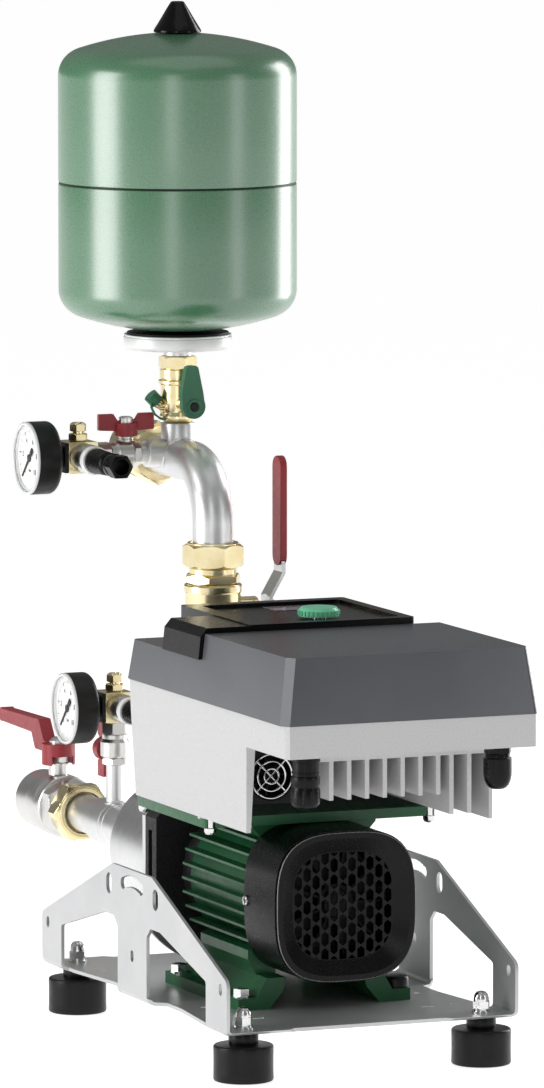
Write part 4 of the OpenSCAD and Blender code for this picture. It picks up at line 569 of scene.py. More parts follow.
valve_barrel = turned(
    [(12.5, 299.1)] + hexed(42, 299.1, 316.0) + [(20.6, 316.4), (21.0, 317.0), (21.0, 321.0),
     (22.0, 323.6), (23.6, 325.8), (24.0, 327.0), (24.0, 363.6), (24.3, 364.8), (25.0, 365.8),
     (25.0, 370.6), (24.4, 371.7), (23.4, 372.2)] + hexed(44, 372.2, 381.0)
    + [(20.5, 381.0), (20.5, 385.2), (20.0, 385.8), (12.5, 385.8)], at=riser)
valve_gland = turned(
    [(5.2, 18.0), (9.5, 18.0), (9.5, 34.0), (8.6, 34.4), (8.6, 35.4), (9.5, 35.8), (9.5, 39.2),
     (8.8, 40.0), (5.2, 40.0)], axis="X", at=(0, 140.5, 350), steps=64)
finish_mesh("discharge_valve_piece", joined([valve_barrel, valve_gland]), bright_brass, "set",
            ("discharge_valve_body",), crease=16)

# Union nuts and outlet socket.
# Brass union nuts with turned-off corners, each with a narrow dark gap round its pipe, and
# the female outlet socket with its thread at the back of the discharge pipe.
discharge_nut = turned(
    [(17.75, 386.3)] + hexed(46, 386.3, 406.6) + [(22.2, 406.6), (22.2, 407.2), (21.6, 407.9),
     (19.4, 407.9), (18.8, 406.0), (18.8, 402.0), (17.75, 401.6)], at=riser, turn=30)
suction_nut = turned(
    [(17.0, 0.1)] + hexed(48, 0.1, 20.6) + [(23.0, 20.6), (22.8, 21.4), (22.0, 21.8), (19.0, 21.8),
     (18.3, 20.0), (18.3, 15.0), (17.0, 14.6)], axis="-Y", at=(0, 467.8, shaft[2]))


def female_thread(end, pitch=1.9, turns=8):
    """Profile rows of the ridges inside a socket, from its end inwards."""
    rows = []
    for ridge in range(turns):
        rows += [(20.0, end - pitch * ridge), (19.0, end - 0.9 - pitch * ridge)]
    return rows


bend_height = 473
outlet_socket = turned(
    [(17.6, 263.2)] + hexed(49, 263.2, 297.0) + [(25.0, 297.4), (25.0, 321.8), (24.2, 322.9), (20.6, 322.9)]
    + female_thread(322.2) + [(20.0, 307.0), (16.0, 307.0), (16.0, 279.0), (17.6, 278.4)],
    axis="Y", at=(0, 0, bend_height), turn=30)
finish_mesh("union_nuts_piece", joined([discharge_nut, suction_nut, outlet_socket]), bright_brass, "set",
            ("union_nuts",), crease=16)

# Discharge pipe.
# A bent stainless tube with a welded socket for the tank valve and a welded branch for the
# gauge, pickled to a satin, slightly cloudy skin. The weld beads are left on.


def tube(points, radius, steps=16, closed=False, inner=0.0):
    """A round bar along points in mm, or a hollow tube where an inner radius is given."""
    mesh = bmesh.new()
    points = [Vector(point) for point in points]
    count = len(points)
    rims = []
    stations = []
    for place, point in enumerate(points):
        before = points[place - 1] if closed or place else point
        after = points[(place + 1) % count] if closed or place < count - 1 else point
        along = (after - before).normalized()
        level = Vector((1, 0, 0)) if abs(along.x) < 0.8 else Vector((0, 1, 0))
        side = (level - along * level.dot(along)).normalized()
        turned_to = Matrix((side, along.cross(side), along)).transposed().to_4x4()
        stations.append(Matrix.Translation(point) @ turned_to)
    for reach in (radius, inner) if inner else (radius,):
        circle = [Vector((reach * math.cos(math.tau * step / steps),
                          reach * math.sin(math.tau * step / steps), 0)) for step in range(steps)]
        ends = drawn(mesh, [[station @ point for point in circle] for station in stations], closed)
        if not closed and not inner:
            for rim in ends:
                bmesh.ops.holes_fill(mesh, edges=rim, sides=0)
        rims.append(ends)
    if inner:
        for outside, inside in zip(*rims):
            bmesh.ops.bridge_loops(mesh, edges=outside + inside)
    return closed_up(mesh)


pickled_steel = Finish("stainless", "pickled_steel", {"Metallic": 1.0})
cloudy = pickled_steel.noise(22.0, 4.0, 0.6)
pickled_steel.tinted(pickled_steel.spread(cloudy, 0, 1), (214, 215, 216), (230, 230, 230))
pickled_steel.worn(pickled_steel.noise(90.0, 2.0), 0.36, 0.41)

tank_axis = (0, 221, 0)
run = [(0, 140.5, 386.2), (0, 140.5, 398.0), (0, 140.5, 410.0)]
run += [(0, 190.5 - 50 * math.cos(math.radians(3 * step)), 423 + 50 * math.sin(math.radians(3 * step)))
        for step in range(31)]
run += [(0, y, bend_height) for y in (205.0, 235.0, 277.9)]
pipe = tube(run, 17.5, steps=96, inner=15.9)
pipe_collar = turned([(15.9, 386.2), (20.3, 386.2), (20.3, 391.0), (15.9, 391.0)], at=riser)
tank_socket = turned(
    [(9.0, 484.0), (14.5, 484.0), (14.5, 502.8), (13.8, 503.8), (9.0, 503.8)], at=tank_axis)


def weld(reach, pipe_radius, at, steps, bead):
    """The bead round a branch that stands on top of a pipe along Y, in mm."""
    seam = []
    for step in range(steps):
        x, y = reach * math.cos(math.tau * step / steps), reach * math.sin(math.tau * step / steps)
        seam.append((at[0] + x, at[1] + y, at[2] + math.sqrt(pipe_radius ** 2 - x ** 2) + 0.2))
    return tube(seam, bead, steps=10, closed=True)


socket_weld = weld(14.9, 17.5, (0, 221, bend_height), 72, 1.5)
branch_height = 477.8
branch = turned(
    [(4.0, -36.9), (8.6, -36.9), (9.0, -36.5), (9.0, -31.0), (11.4, -30.5), (12.0, -29.8), (12.0, -10.0),
     (4.0, -10.0)], axis="X", at=(0, 221, branch_height))
branch_seam = []
for step in range(72):
    y, z = 12.4 * math.cos(math.tau * step / 72), 12.4 * math.sin(math.tau * step / 72)
    x = -math.sqrt(max(17.5 ** 2 - (z + 4.8) ** 2, 4.0)) - 0.2
    branch_seam.append((x, 221 + y, branch_height + z))
branch_weld = tube(branch_seam, 1.5, steps=10, closed=True)
discharge_pipe = joined([pipe, pipe_collar, tank_socket, socket_weld, branch, branch_weld])
finish_mesh("discharge_pipe_piece", discharge_pipe, pickled_steel, "set", ("discharge_pipe",))

# Suction pipe.
# A turned stainless adapter from the pump's nozzle down to the union, with a rolled groove,
# a short bright sleeve and the welded stub of the lower gauge.
suction_run = turned(
    [(15.0, 261.8), (20.1, 261.8), (20.5, 262.4), (20.5, 352.0), (20.0, 352.4), (20.0, 354.0),
     (20.5, 354.4), (20.5, 360.0), (20.2, 361.6), (19.2, 362.2), (19.2, 364.4), (20.0, 365.0),
     (20.0, 399.0), (19.6, 401.4), (18.2, 404.6), (16.75, 405.8), (16.75, 462.6), (20.3, 462.6),
     (20.3, 467.7), (15.0, 467.7)],
    axis="Y", at=shaft, steps=128)
stub = turned([(4.0, 148.0), (7.5, 148.0), (7.5, 185.8), (4.0, 185.8)], at=(0, 372, 0), steps=64)
stub_weld = weld(7.9, 20.0, (0, 372, shaft[2]), 48, 1.3)
finish_mesh("suction_pipe_piece", joined([suction_run, stub, stub_weld]), pickled_steel, "set",
            ("suction_pipe",))

# Suction valve.
# A nickel-plated ball valve with a spanner hexagon towards the pump, a waisted body, an
# octagonal gland under the lever and a female thread at its far end.
satin_nickel = Finish("nickel", "satin_nickel", {"Metallic": 1.0})
satin_nickel.tinted(satin_nickel.noise(30.0), (206, 205, 202), (224, 223, 220))
satin_nickel.worn(satin_nickel.noise(90.0, 2.0), 0.28, 0.31)

suction_body = turned(
    [(15.0, 468.1)] + hexed(50, 468.1, 487.0) + [(25.6, 487.2), (27.2, 487.8), (28.0, 488.8),
     (28.0, 491.4), (27.4, 493.6), (26.5, 495.2), (26.7, 498.4), (28.0, 502.4), (28.0, 517.6),
     (26.9, 523.0), (26.5, 528.0), (26.5, 549.6), (26.0, 551.2), (25.2, 551.9), (20.8, 551.9)]
    + female_thread(551.2) + [(20.0, 536.0), (15.0, 536.0)], axis="Y", at=shaft, steps=144, turn=30)
suction_gland = turned(
    [(5.1, 155.0), (9.0, 155.0), (9.0, 170.4), (8.0, 170.8)] + hexed(15.5, 170.8, 176.6) + [(5.1, 176.6)],
    at=(0, 510, 0), turn=15)
finish_mesh("suction_valve_piece", joined([suction_body, suction_gland]), satin_nickel, "set",
            ("suction_valve_body",), crease=16)
for node in ("discharge_ball", "suction_ball", "upper_gauge_ball", "lower_gauge_ball", "tank_valve_ball"):
    coated(node, satin_nickel)

# Mini valves of the two gauges.
# Nickel-plated mini ball valves, two hexagons and a round body each, with a small gland. The
# lower one stands on the suction pipe, the upper one lies on the discharge pipe's branch.
mini_profile = (
    [(4.0, 0.1)] + hexed(20, 0.1, 6.6) + [(9.6, 6.6), (11.4, 7.0), (12.6, 8.2), (12.6, 20.6), (12.0, 22.0),
     (11.0, 23.6), (11.0, 27.2)] + hexed(20, 27.3, 38.6) + [(4.0, 38.6)])
mini_gland = [(3.2, 8.0), (6.0, 8.0), (6.0, 13.2), (5.3, 13.5), (5.3, 14.2), (6.0, 14.5), (6.0, 15.6),
              (5.5, 16.1), (3.2, 16.1)]
mini_valves = joined([
    turned(mini_profile, at=(0, 372, 186)),
    turned(mini_gland, axis="Y", at=(0, 372, 197.5), steps=48),
    turned(mini_profile, axis="-X", at=(-37.1, 221, branch_height)),
    turned(mini_gland, at=(-48.6, 221, branch_height), steps=48)])
finish_mesh("gauge_valves_piece", mini_valves, satin_nickel, "set", ("gauge_valve_bodies",), crease=16)

# Levers and butterfly handles.
# The discharge lever is a bent steel strip with a dipped red grip, the suction lever and the
# two butterflies are die cast and coated red. A nickel cap nut holds each butterfly.
dressed("discharge_lever", pickled_steel, 0.5)

red_coating = Finish("red_plastic", "red_coating", {"Specular IOR Level": 0.45})
orange_peel = red_coating.noise(220.0, 2.0)
red_coating.tinted(red_coating.spread(red_coating.noise(24.0), 0, 1), (142, 38, 46), (156, 44, 52))
red_coating.worn(orange_peel, 0.30, 0.44)
red_coating.relief(orange_peel, 0.00012)
dressed("discharge_grip", red_coating, 2.2, segments=4)
dressed("suction_lever", red_coating, 3.2, segments=5)
dressed("upper_gauge_handle", red_coating, 0.9, segments=3)
dressed("lower_gauge_handle", red_coating, 0.9, segments=3)

cap_nut = [(0.0, 5.6), (4.2, 5.5), (5.4, 4.9), (6.1, 4.2), (6.1, 0.1), (0.0, 0.1)]
upper_nut = turned(cap_nut, at=(-48.62, 221, 505.3), steps=48)
finish_mesh("upper_butterfly_nut", upper_nut, satin_nickel, "upper_tap")
lower_nut = turned(cap_nut, axis="Y", at=(0, 399.5, 197.5), steps=48)
finish_mesh("lower_butterfly_nut", lower_nut, satin_nickel, "lower_tap")

# Gauge blocks and vent screws.
# Square brass blocks that carry gauge, sensor and vent screw, milled all over. The vent
# screws are turned from hexagon bar.
dressed("gauge_blocks", bright_brass, 0.6)
vent = ([(0.0, 0.2)] + hexed(15, 0.2, 6.4) + [(5.0, 6.4), (5.0, 8.2)] + hexed(13, 8.2, 15.0)
        + [(5.9, 15.1), (5.2, 15.9), (2.0, 15.9), (1.7, 14.6), (0.0, 14.6)])
vents = joined([turned(vent, at=(0, 372, 251.8), steps=72), turned(vent, at=(-92.8, 221, 491.3), steps=72)])
finish_mesh("vent_screws_piece", vents, bright_brass, "set", ("vent_screws",), crease=16)

# Gauge cases.
# Black moulded cases, open in front, with a neck and a square shoulder against the block.
case_black = Finish("gauge_black", "case_black", {"Specular IOR Level": 0.35})
case_black.tinted(case_black.noise(40.0), (15, 15, 15), (20, 20, 20))
case_black.worn(case_black.noise(500.0), 0.32, 0.46)
case_black.relief(case_black.noise(900.0, 2.0), 0.00003)
gauge_faces = ((-49.0, 372.0, 238.3), (-141.8, 221.0, branch_height))
case_profile = (
    [(0.0, 21.6), (28.4, 21.6), (28.4, 2.5), (31.0, 2.5), (31.4, 2.9), (31.5, 3.4), (31.5, 19.6)]
    + [(31.2, 21.2), (30.4, 22.6), (29.4, 23.6), (28.2, 24.0), (9.0, 24.0), (9.0, 33.0), (0.0, 33.0)])
shoulder = bmesh.new()
bmesh.ops.create_cube(shoulder, size=1.0)
bmesh.ops.scale(shoulder, verts=shoulder.verts, vec=(2.9 * MM, 26 * MM, 26 * MM))
shoulders = []
for x, y, z in gauge_faces:
    plate = shoulder.copy()
    bmesh.ops.translate(plate, verts=plate.verts, vec=((x + 33.95) * MM, y * MM, z * MM))
    shoulders.append(plate)
shoulder.free()
cases = joined([turned(case_profile, axis="X", at=place, steps=128) for place in gauge_faces] + shoulders)
break_edges(finish_mesh("gauge_cases_piece", cases, case_black, "set", ("gauge_cases",)), 0.3, 50)

# Gauge lens rims.
# The rim of each clear lens, polished, which catches the light round the dial.
clear_rim = Finish("gauge_glass", "clear_rim", {"Metallic": 0.0, "IOR": 1.6})
clear_rim.tinted(clear_rim.noise(60.0), (212, 214, 214), (224, 226, 226))
clear_rim.worn(clear_rim.noise(300.0), 0.10, 0.18)
rim_profile = [(28.4, 2.4), (28.4, 0.9), (28.9, 0.3), (29.6, 0.0), (30.4, 0.1), (31.0, 0.5), (31.4, 1.2),
               (31.5, 2.4)]
rims = joined([turned(rim_profile, axis="X", at=place, steps=128) for place in gauge_faces])
finish_mesh("gauge_rims", rims, clear_rim, "set", ("gauge_cases",))

clear_glass = Finish("gauge_glass", "clear_glass", {
    "Base Color": (1, 1, 1, 1), "Roughness": 0.03, "Transmission Weight": 1.0, "IOR": 1.05})
coated("gauge_glasses", clear_glass)

# Gauge dials.
# White enamelled dial cups with a printed black scale from nought to ten over three quarters
# of a turn. The print stands a hair's breadth proud of the dial.
dial_white = Finish("flange_white", "dial_white", {"Specular IOR Level": 0.5})
dial_white.tinted(dial_white.noise(50.0), (244, 244, 243), (250, 250, 249))
dial_white.worn(dial_white.noise(300.0), 0.3, 0.42)
cup_profile = [(2.2, 6.0), (28.3, 6.0), (28.3, 2.6), (27.7, 2.6), (27.7, 4.9), (27.2, 5.1), (2.2, 5.1)]
cups = joined([turned(cup_profile, axis="X", at=place) for place in gauge_faces])
finish_mesh("gauge_dials", cups, dial_white, "set", ("gauge_cases",))

print_black = Finish("gauge_black", "print_black", {"Specular IOR Level": 0.3})
print_black.tinted(print_black.noise(90.0), (14, 14, 15), (22, 22, 23))
print_black.worn(print_black.noise(400.0), 0.4, 0.55)


def on_dial(mesh, place):
    """Lays a drawing in mm, seen from in front, on the dial of a gauge."""
    facing = Matrix(((0, 0, -1, 0), (-1, 0, 0, 0), (0, 1, 0, 0), (0, 0, 0, 1)))
    x, y, z = place
    mesh.transform(Matrix.Scale(MM, 4) @ Matrix.Translation((x + 5.08, y, z)) @ facing)
    return mesh


def numeral(text, size, right, up):
    """One printed number, turned to a mesh, in mm."""
    lettering = bpy.data.curves.new("numeral", "FONT")
    lettering.body = text
    lettering.size = size
    lettering.align_x = "CENTER"
    lettering.align_y = "CENTER"
    lettering.extrude = 0.06
    lettering.offset = 0.12
    holder = bpy.data.objects.new("numeral", lettering)
    data = bpy.data.meshes.new_from_object(holder)
    drawn = bmesh.new()
    drawn.from_mesh(data)
    bmesh.ops.remove_doubles(drawn, verts=drawn.verts, dist=0.001)
    bmesh.ops.translate(drawn, verts=drawn.verts, vec=(right, up, 0))
    bpy.data.objects.remove(holder)
    bpy.data.meshes.remove(data)
    bpy.data.curves.remove(lettering)
    return drawn


def scale_mark(angle, inner, outer, width):
    """One tick of the scale, a thin bar that points at the dial's centre, in mm."""
    bar = bmesh.new()
    bmesh.ops.create_cube(bar, size=1.0)
    bmesh.ops.scale(bar, verts=bar.verts, vec=(width, outer - inner, 0.12))
    bmesh.ops.translate(bar, verts=bar.verts, vec=(0, (inner + outer) / 2, 0))
    bar.transform(Matrix.Rotation(-math.radians(angle), 4, "Z"))
    return bar


prints = []
for place in gauge_faces:
    for mark in range(51):
        angle = -135 + 5.4 * mark
        major = mark % 10 == 0
        middle = mark % 5 == 0
        inner, width = (20.4, 1.1) if major else (21.8, 0.7) if middle else (22.8, 0.35)
        prints.append(on_dial(scale_mark(angle, inner, 24.6, width), place))
    for number in range(0, 11, 2):
        angle = math.radians(-135 + 27 * number)
        prints.append(on_dial(numeral(
            str(number), 6.4, 16.2 * math.sin(angle), 16.2 * math.cos(angle)), place))
    prints.append(on_dial(numeral("bar", 4.0, 0.0, -10.5), place))
finish_mesh("gauge_scales", joined(prints), print_black, "set", ("gauge_cases",), crease=20)
coated("upper_pointer", print_black)
coated("lower_pointer", print_black)

# Pressure sensors.
# Each has a nickel-plated body in the block, a white insulating ring and a black plug with
# finger grooves, a neck and a hexagonal end with a round socket.
sensor_roots = ((0.0, 358.5, 238.3), (-92.8, 207.5, branch_height))
metal_end = [(0.0, -7.8), (4.8, -7.8), (4.8, 0.1), (11.2, 0.1), (12.0, 0.5), (12.6, 1.4), (12.6, 20.4),
             (12.2, 21.8), (11.4, 22.4), (0.0, 22.4)]


def on_sensors(profile):
    """One turned part of both sensors."""
    return joined([turned(profile, axis="-Y", at=place) for place in sensor_roots])


finish_mesh("sensor_bodies", on_sensors(metal_end), satin_nickel, "set", ("pressure_sensors",))
white_ring = [(0.0, 22.5), (11.6, 22.5), (12.4, 23.2), (12.4, 27.8), (11.6, 28.6), (0.0, 28.6)]
ring_ivory = Finish("flange_white", "ring_ivory", {"Specular IOR Level": 0.5})
ring_ivory.tinted(ring_ivory.noise(60.0), (232, 233, 232), (240, 241, 240))
ring_ivory.worn(ring_ivory.noise(300.0), 0.25, 0.36)
finish_mesh("sensor_rings", on_sensors(white_ring), ring_ivory, "set", ("pressure_sensors",))
black_plug = [(0.0, 28.7), (9.6, 28.7), (10.6, 29.8), (10.7, 30.4)]
for groove in range(7):
    start = 30.8 + 4.2 * groove
    swell = 10.8 - 0.12 * groove
    black_plug += [(swell, start), (swell, start + 2.6)]
    black_plug += [(swell - 0.8, start + 3.0), (swell - 0.8, start + 3.8)]
black_plug += ([(9.8, 60.6), (9.4, 62.0), (8.2, 63.0), (8.2, 68.0), (9.6, 69.0), (10.2, 70.4), (10.2, 74.6),
                (9.4, 75.6)] + hexed(19, 75.8, 89.4) + [(7.0, 89.4), (6.5, 88.6), (6.5, 76.0), (0.0, 76.0)])
finish_mesh("sensor_plugs", on_sensors(black_plug), black_moulding, "set", ("pressure_sensors",))

# Tank valve.
# A brass ball valve under the tank, with a ring groove round its neck, a stem boss in front
# and a slanted drain nipple at the left.
tank_barrel = turned(
    [(5.1, 504.2), (11.0, 504.2), (13.0, 505.4), (16.0, 508.0), (16.0, 510.0), (14.6, 512.2), (14.0, 513.4),
     (14.5, 516.2), (15.0, 526.2), (15.0, 536.6), (16.2, 537.4), (17.0, 538.0), (17.0, 540.4), (15.6, 541.2),
     (13.2, 541.6), (13.2, 542.4), (15.7, 543.0), (15.7, 549.8), (14.6, 550.3)] + hexed(29, 550.6, 561.8)
    + [(5.1, 561.8)], at=tank_axis, turn=30)
stem_boss = turned(
    [(3.7, 10.0), (7.0, 10.0), (7.0, 26.0), (6.2, 26.4), (6.2, 27.6), (7.0, 28.0), (7.0, 30.2), (6.4, 30.8),
     (3.7, 30.8)], axis="-Y", at=(0, 221, 520.5), steps=48)
nipple = tube([(-8, 221, 515.5), (-14, 221, 516.4), (-17.5, 221, 520.0), (-21.5, 221, 524.0)], 4.5, steps=32)
finish_mesh("tank_valve_piece", joined([tank_barrel, stem_boss, nipple]), bright_brass, "set",
            ("tank_valve_body",), crease=16)
tank_neck = turned([(5.1, 561.9), (11.6, 561.9), (12.0, 562.3), (12.0, 567.9), (5.1, 567.9)],
                   at=tank_axis, steps=72)
finish_mesh("tank_neck", tank_neck, pickled_steel, "set", ("tank_valve_body",))

# Tank valve lever and drain cap.
# Small glass-filled nylon parts, moulded in green. The lever has a raised rim round its
# recessed dark screw.
green_nylon = Finish("green_plastic", "green_nylon", {"Specular IOR Level": 0.45})
green_nylon.tinted(green_nylon.spread(green_nylon.noise(40.0), 0, 1), (42, 98, 70), (52, 110, 80))
green_nylon.worn(green_nylon.noise(400.0), 0.34, 0.46)
green_nylon.relief(green_nylon.noise(600.0, 2.0), 0.00005)
dressed("tank_valve_lever", green_nylon, 0.9, segments=3)
dressed("drain_cap", green_nylon, 0.5)
strap = tube([(-25.5, 219, 523.5), (-27.0, 215, 518.0), (-25.0, 212.5, 512.5), (-20.0, 212, 508.6),
              (-14.5, 213.5, 507.6)], 1.1, steps=12)
finish_mesh("drain_strap", strap, green_nylon, "set")
lever_hub = (0, 183, 520.5)
lever_rim = turned([(4.2, 0.2), (6.4, 0.2), (6.4, -0.8), (5.9, -1.2), (4.7, -1.2), (4.2, -0.8)],
                   axis="Y", at=lever_hub, steps=64)
finish_mesh("tank_lever_rim", lever_rim, green_nylon, "tank_tap")
lever_screw = turned([(0.0, 0.2), (3.8, 0.2), (3.8, -0.3), (3.4, -0.6), (2.0, -0.7), (1.8, -0.1),
                      (0.0, -0.1)], axis="Y", at=lever_hub, steps=48)
finish_mesh("tank_lever_screw", lever_screw, cap_black, "tank_tap")

# Tank shells.
# Two deep-drawn shells that meet round the middle in a dark seam, painted in a green gloss
# with a fine metallic grain. The seam's lips are rolled in a little.
tank_paint = Finish("tank_green", "tank_paint", {"IOR": 2.05, "Coat Weight": 0.2, "Coat Roughness": 0.16})
flake = tank_paint.noise(1400.0, 2.0)
tank_paint.tinted(tank_paint.spread(flake, 0, 1), (62, 112, 78), (70, 122, 86))
tank_paint.worn(flake, 0.25, 0.31)
tank_paint.relief(tank_paint.noise(500.0, 2.0), 0.00002)
tank_radius = 103.0


def dome(inset):
    """Profile rows from a shell's side up to its crown, the tank's radius less an inset."""
    radius, corner, rise = tank_radius - inset, 26.0, 37.0 - inset
    rows = [(radius - corner + corner * math.cos(math.radians(5 * step)),
             corner * 0.95 * math.sin(math.radians(5 * step))) for step in range(1, 15)]
    start, base = rows[-1]
    for step in range(1, 15):
        part = step / 14
        rows.append((start * (1 - part), base + (rise - base) * (1 - (1 - part) ** 2)))
    return rows


def shell(base, way, lip):
    """The closed profile of one shell: its lip, its side and dome, and back down inside."""
    outside = [(reach, base + way * rise) for reach, rise in dome(0.0)]
    inside = [(reach, base + way * rise) for reach, rise in reversed(dome(2.0))]
    return lip + [(tank_radius, base)] + outside + inside + [(101.0, base), (101.0, lip[0][1] + way)]


upper_lip = [(101.2, 713.0), (102.2, 712.7), (102.8, 713.2), (103.0, 714.4), (103.0, 760.0)]
lower_lip = [(101.2, 711.0), (102.2, 711.3), (102.8, 710.8), (103.0, 709.6), (103.0, 660.0)]
upper_shell = turned(shell(804.0, 1, upper_lip), at=tank_axis, steps=200)
lower_shell = turned(shell(620.0, -1, lower_lip), at=tank_axis, steps=200)
finish_mesh("tank_upper_piece", upper_shell, tank_paint, "set", ("tank_upper_shell",))
finish_mesh("tank_lower_piece", lower_shell, tank_paint, "set", ("tank_lower_shell",))
seam_band = turned([(100.6, 710.4), (101.9, 710.4), (101.9, 713.6), (100.6, 713.6)], at=tank_axis, steps=200)
finish_mesh("tank_seam", seam_band, dull_black, "set")
coated("tank_membrane", buffer_rubber)

# Tank cap and flange ring.
# A glossy black valve cap on the crown, and below the tank a galvanised flange ring with a
# dark groove near its top edge and a black gasket.
gloss_black = Finish("black_plastic", "gloss_black", {"Specular IOR Level": 0.25})
gloss_black.tinted(gloss_black.noise(50.0), (1, 1, 1), (3, 3, 3))
gloss_black.worn(gloss_black.noise(300.0), 0.12, 0.2)
valve_cap = turned(
    [(0.0, 841.2), (20.0, 841.2), (20.6, 841.8), (20.6, 842.6), (20.0, 844.0), (16.6, 849.4), (13.4, 854.7),
     (9.6, 861.2), (6.6, 866.0), (5.8, 867.2), (4.6, 867.9), (0.0, 868.0)], at=tank_axis)
finish_mesh("tank_cap_piece", valve_cap, gloss_black, "set", ("tank_cap",))

ring_grey = Finish("flange_white", "ring_grey", {"Metallic": 0.2})
ring_grey.tinted(ring_grey.noise(50.0), (224, 224, 224), (234, 234, 234))
ring_grey.worn(ring_grey.noise(300.0), 0.32, 0.46)
flange = turned(
    [(8.0, 568.1), (43.4, 568.1), (45.4, 568.6), (46.6, 569.8), (47.0, 571.6), (47.0, 578.2), (46.6, 578.9),
     (45.2, 579.0), (45.2, 579.9), (46.4, 580.0), (46.6, 580.5), (46.2, 581.0), (8.0, 581.0)],
    at=tank_axis, steps=128)
finish_mesh("tank_ring_piece", flange, ring_grey, "set", ("tank_ring",))
gasket = turned([(8.0, 581.1), (44.0, 581.1), (44.0, 582.8), (8.0, 582.8)], at=tank_axis, steps=128)
finish_mesh("tank_gasket", gasket, dull_black, "set", ("tank_ring",))

# Controller housing and heat sink.
# Die-cast aluminium, powder coated in light grey with a fine speckle. The castings' edges
# are rounded, most of all the upright ones, and the front left one has a narrow flat.
housing_paint = Finish("housing_grey", "housing_paint", {"Specular IOR Level": 0.4})
speck = housing_paint.noise(800.0, 2.0)
housing_paint.tinted(housing_paint.spread(speck, 0, 1), (190, 190, 190), (204, 204, 204))
housing_paint.worn(speck, 0.42, 0.58)
housing_paint.relief(speck, 0.00006)


def round_uprights(node, finish, radius, width, flat):
    """A box-shaped piece with its upright corner edges rounded far more than the rest, and a
    narrow flat down the outermost edge at the front left, in mm."""
    mesh = merged_copy(node)
    low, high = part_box(node)
    corner = None
    uprights = []
    for edge in mesh.edges:
        first, second = edge.verts[0].co, edge.verts[1].co
        middle = (first + second) / 2
        at_corner = (min(middle.x - low[0], high[0] - middle.x) < 9 * MM
                     and min(middle.y - low[1], high[1] - middle.y) < 9 * MM)
        if at_corner and edge.calc_length() > 12 * MM and abs((second - first).normalized().z) > 0.85:
            if middle.x > 0 or middle.y > low[1] + 20 * MM:
                uprights.append(edge)
            elif not corner or middle.x + middle.y < sum(end.x + end.y for end in corner) / 2:
                corner = (first.copy(), second.copy())
    bmesh.ops.bevel(mesh, geom=uprights, offset=radius * MM, segments=8, profile=0.5, affect="EDGES",
                    clamp_overlap=True, material=-1)
    along = (corner[0] - corner[1]).normalized()
    facing = Vector((-math.sin(math.radians(58)), -math.cos(math.radians(58)), 0.0))
    facing = (facing - along * facing.dot(along)).normalized()
    cut = bmesh.ops.bisect_plane(
        mesh, geom=mesh.verts[:] + mesh.edges[:] + mesh.faces[:], dist=0.00001, clear_outer=True,
        plane_co=(corner[0] + corner[1]) / 2 - facing * flat * MM, plane_no=facing)
    rims = [part for part in cut["geom_cut"] if isinstance(part, bmesh.types.BMEdge)]
    bmesh.ops.holes_fill(mesh, edges=rims, sides=0)
    piece = finish_mesh(node + "_piece", mesh, finish, "set", (node,), crease=20)
    return break_edges(piece, width, segments=3)


round_uprights("controller_housing", housing_paint, 4.0, 0.8, 2.2)
dressed("heat_sink", housing_paint, 0.5)

# Controller cover and circuit board.
# A dark grey moulded cover with a fine leather grain and a bright lip along its top edges,
# its corners as the housing's. The board it hides is glass fibre under green lacquer.
cover_grey = Finish("cover_grey", "cover_grey", {"IOR": 1.65})
leather = cover_grey.noise(600.0, 3.0)
cover_grey.tinted(cover_grey.spread(cover_grey.noise(12.0), 0, 1), (72, 74, 79), (79, 81, 86))
cover_grey.worn(leather, 0.28, 0.38)
cover_grey.relief(leather, 0.00004)
round_uprights("controller_cover", cover_grey, 4.0, 1.2, 2.2)

board_green = Finish("board", "board_green", {"Roughness": 0.5})
board_green.tinted(board_green.cells(180.0) > 0.35, (30, 92, 52), (24, 72, 42))
coated("circuit_board", board_green)

# Operating panel.
# The black panel frame with its wing over the cover's left edge, a recessed glossy window and
# a small display of lilac-grey glass behind the knob.
dressed("panel_frame", black_moulding, 0.8, segments=3)
window = bmesh.new()
bmesh.ops.create_cube(window, size=1.0)
bmesh.ops.scale(window, verts=window.verts, vec=(54 * MM, 28 * MM, 0.5 * MM))
bmesh.ops.translate(window, verts=window.verts, vec=(28 * MM, 17 * MM, 363.35 * MM))
display_glass = Finish("gauge_glass", "display_glass", {"Specular IOR Level": 0.6})
display_glass.tinted(display_glass.noise(60.0), (118, 108, 120), (136, 124, 138))
display_glass.worn(display_glass.noise(300.0), 0.1, 0.16)
break_edges(finish_mesh("panel_display", window, display_glass, "set"), 0.2)

# Operating knob.
# A soft green knob, moulded with grip ribs all round and a chamfered crown, faintly clear.
knob_green = Finish("green_plastic", "knob_green", {
    "Specular IOR Level": 0.5, "Subsurface Weight": 0.15, "Subsurface Scale": 0.004})
knob_green.tinted(knob_green.spread(knob_green.noise(60.0), 0, 1), (110, 206, 162), (122, 216, 174))
knob_green.worn(knob_green.noise(300.0), 0.28, 0.38)
dressed("operating_knob", knob_green, 0.35)

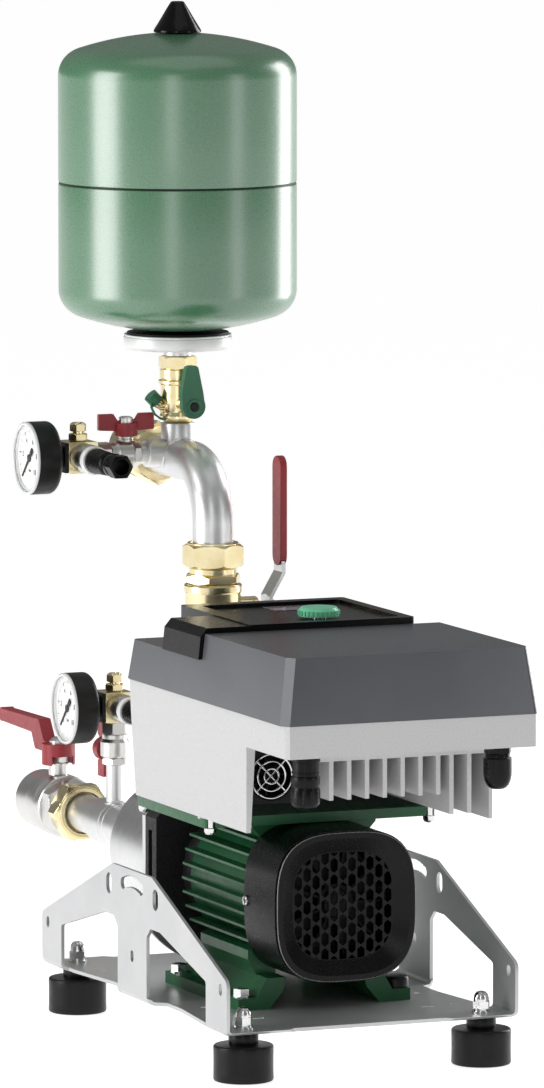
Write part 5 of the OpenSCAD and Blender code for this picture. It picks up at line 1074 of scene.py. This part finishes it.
# Fan guard.
# A black plate in the housing's front with a round opening, the fan's shroud and spider behind
# it, a black disc behind the fan that paints the shade inside the housing, and a finger guard of
# bright wire rings on two crossed wires.
opening = (-87.0, 253.0)
fan_axis = (opening[0], 0, opening[1])
rim_points = []
corner_points = []
for step in range(72):
    angle = math.tau * step / 72
    c, s = math.cos(angle), math.sin(angle)
    rim_points.append((opening[0] + 19.4 * c, opening[1] + 19.4 * s))
    reach = min(((-58.0 - opening[0]) if c > 0 else (opening[0] + 107.0)) / max(abs(c), 1e-6),
                ((278.0 - opening[1]) if s > 0 else (opening[1] - 230.6)) / max(abs(s), 1e-6))
    corner_points.append((opening[0] + reach * c, opening[1] + reach * s))
guard_plate = ring_of([[(x, y, z) for x, z in points] for y, points in (
    (-201.0, rim_points), (-199.0, rim_points), (-199.0, corner_points), (-201.0, corner_points))])
shroud = turned([(19.0, -201.0), (20.2, -201.0), (20.2, -185.0), (19.0, -185.0)],
                axis="Y", at=fan_axis, steps=72)
spider = [tube([(-106.5, -186.0, 253), (-67.5, -186.0, 253)], 1.0, steps=12),
          tube([(-87, -186.0, 233.5), (-87, -186.0, 272.5)], 1.0, steps=12),
          tube([(-87, -193.0, 253), (-87, -186.0, 253)], 1.4, steps=16)]
# A black disc behind the fan: painted shade inside the housing.
dust_filter = turned([(0.0, -184.6), (20.2, -184.6), (20.2, -183.4), (0.0, -183.4)],
                     axis="Y", at=fan_axis)
guard_plate = joined([guard_plate, shroud, dust_filter] + spider)
finish_mesh("fan_guard_plate", guard_plate, dull_black, "set", ("fan_guard",))
wire = 0.75
wires = []
for reach in (6.3, 12.2, 18.2):
    loop = [(opening[0] + reach * math.cos(math.tau * step / 64), -200.6,
             opening[1] + reach * math.sin(math.tau * step / 64)) for step in range(64)]
    wires.append(tube(loop, wire, steps=10, closed=True))
for rise in (-15.5, 15.5):
    wires.append(tube([(opening[0] - 15.5, -199.6, opening[1] - rise),
                       (opening[0] + 15.5, -199.6, opening[1] + rise)], wire, steps=10))
finish_mesh("fan_guard_wires", joined(wires), bright_zinc, "set", ("fan_guard",))

# Cable glands.
# Black nylon glands under the overhang: the left one with a ribbed nut and ring grooves, the
# right one with a hexagonal collar and a domed nut.
left_gland = turned(
    [(0.0, 282.0), (8.0, 282.0), (8.0, 278.4), (11.6, 278.4), (12.0, 278.0), (12.0, 270.4),
     (11.6, 270.0), (10.9, 269.8), (10.9, 262.0), (11.5, 261.6), (11.5, 260.6), (10.9, 260.2),
     (10.9, 258.4), (11.7, 257.9), (11.9, 257.0), (11.9, 251.0), (11.4, 250.0), (11.4, 248.6),
     (11.9, 247.6), (11.9, 238.0), (11.6, 235.6), (10.6, 233.4), (9.6, 232.6), (6.4, 232.6),
     (5.6, 233.6), (5.6, 240.0), (0.0, 240.0)], at=(-74.5, -243, 0))
gland_ribs = []
for rib in range(12):
    angle = math.tau * rib / 12
    x, y = -74.5 + 11.5 * math.cos(angle), -243 + 11.5 * math.sin(angle)
    gland_ribs.append(tube([(x, y, 236.5), (x, y, 246.6)], 0.8, steps=8))
right_gland = turned(
    [(0.0, 282.0), (8.0, 282.0), (8.0, 278.4), (10.0, 278.4)] + hexed(21, 268.0, 278.3)[::-1]
    + [(10.4, 267.6), (10.4, 265.0), (11.2, 264.6), (11.8, 263.8), (11.8, 252.4), (11.6, 249.4),
       (10.9, 245.6), (9.4, 242.0), (7.2, 239.6), (5.0, 238.6), (4.0, 239.2), (4.0, 246.0), (0.0, 246.0)],
    at=(97, -243, 0))
finish_mesh("cable_glands_piece", joined([left_gland, right_gland] + gland_ribs), black_moulding, "set",
            ("cable_glands",))
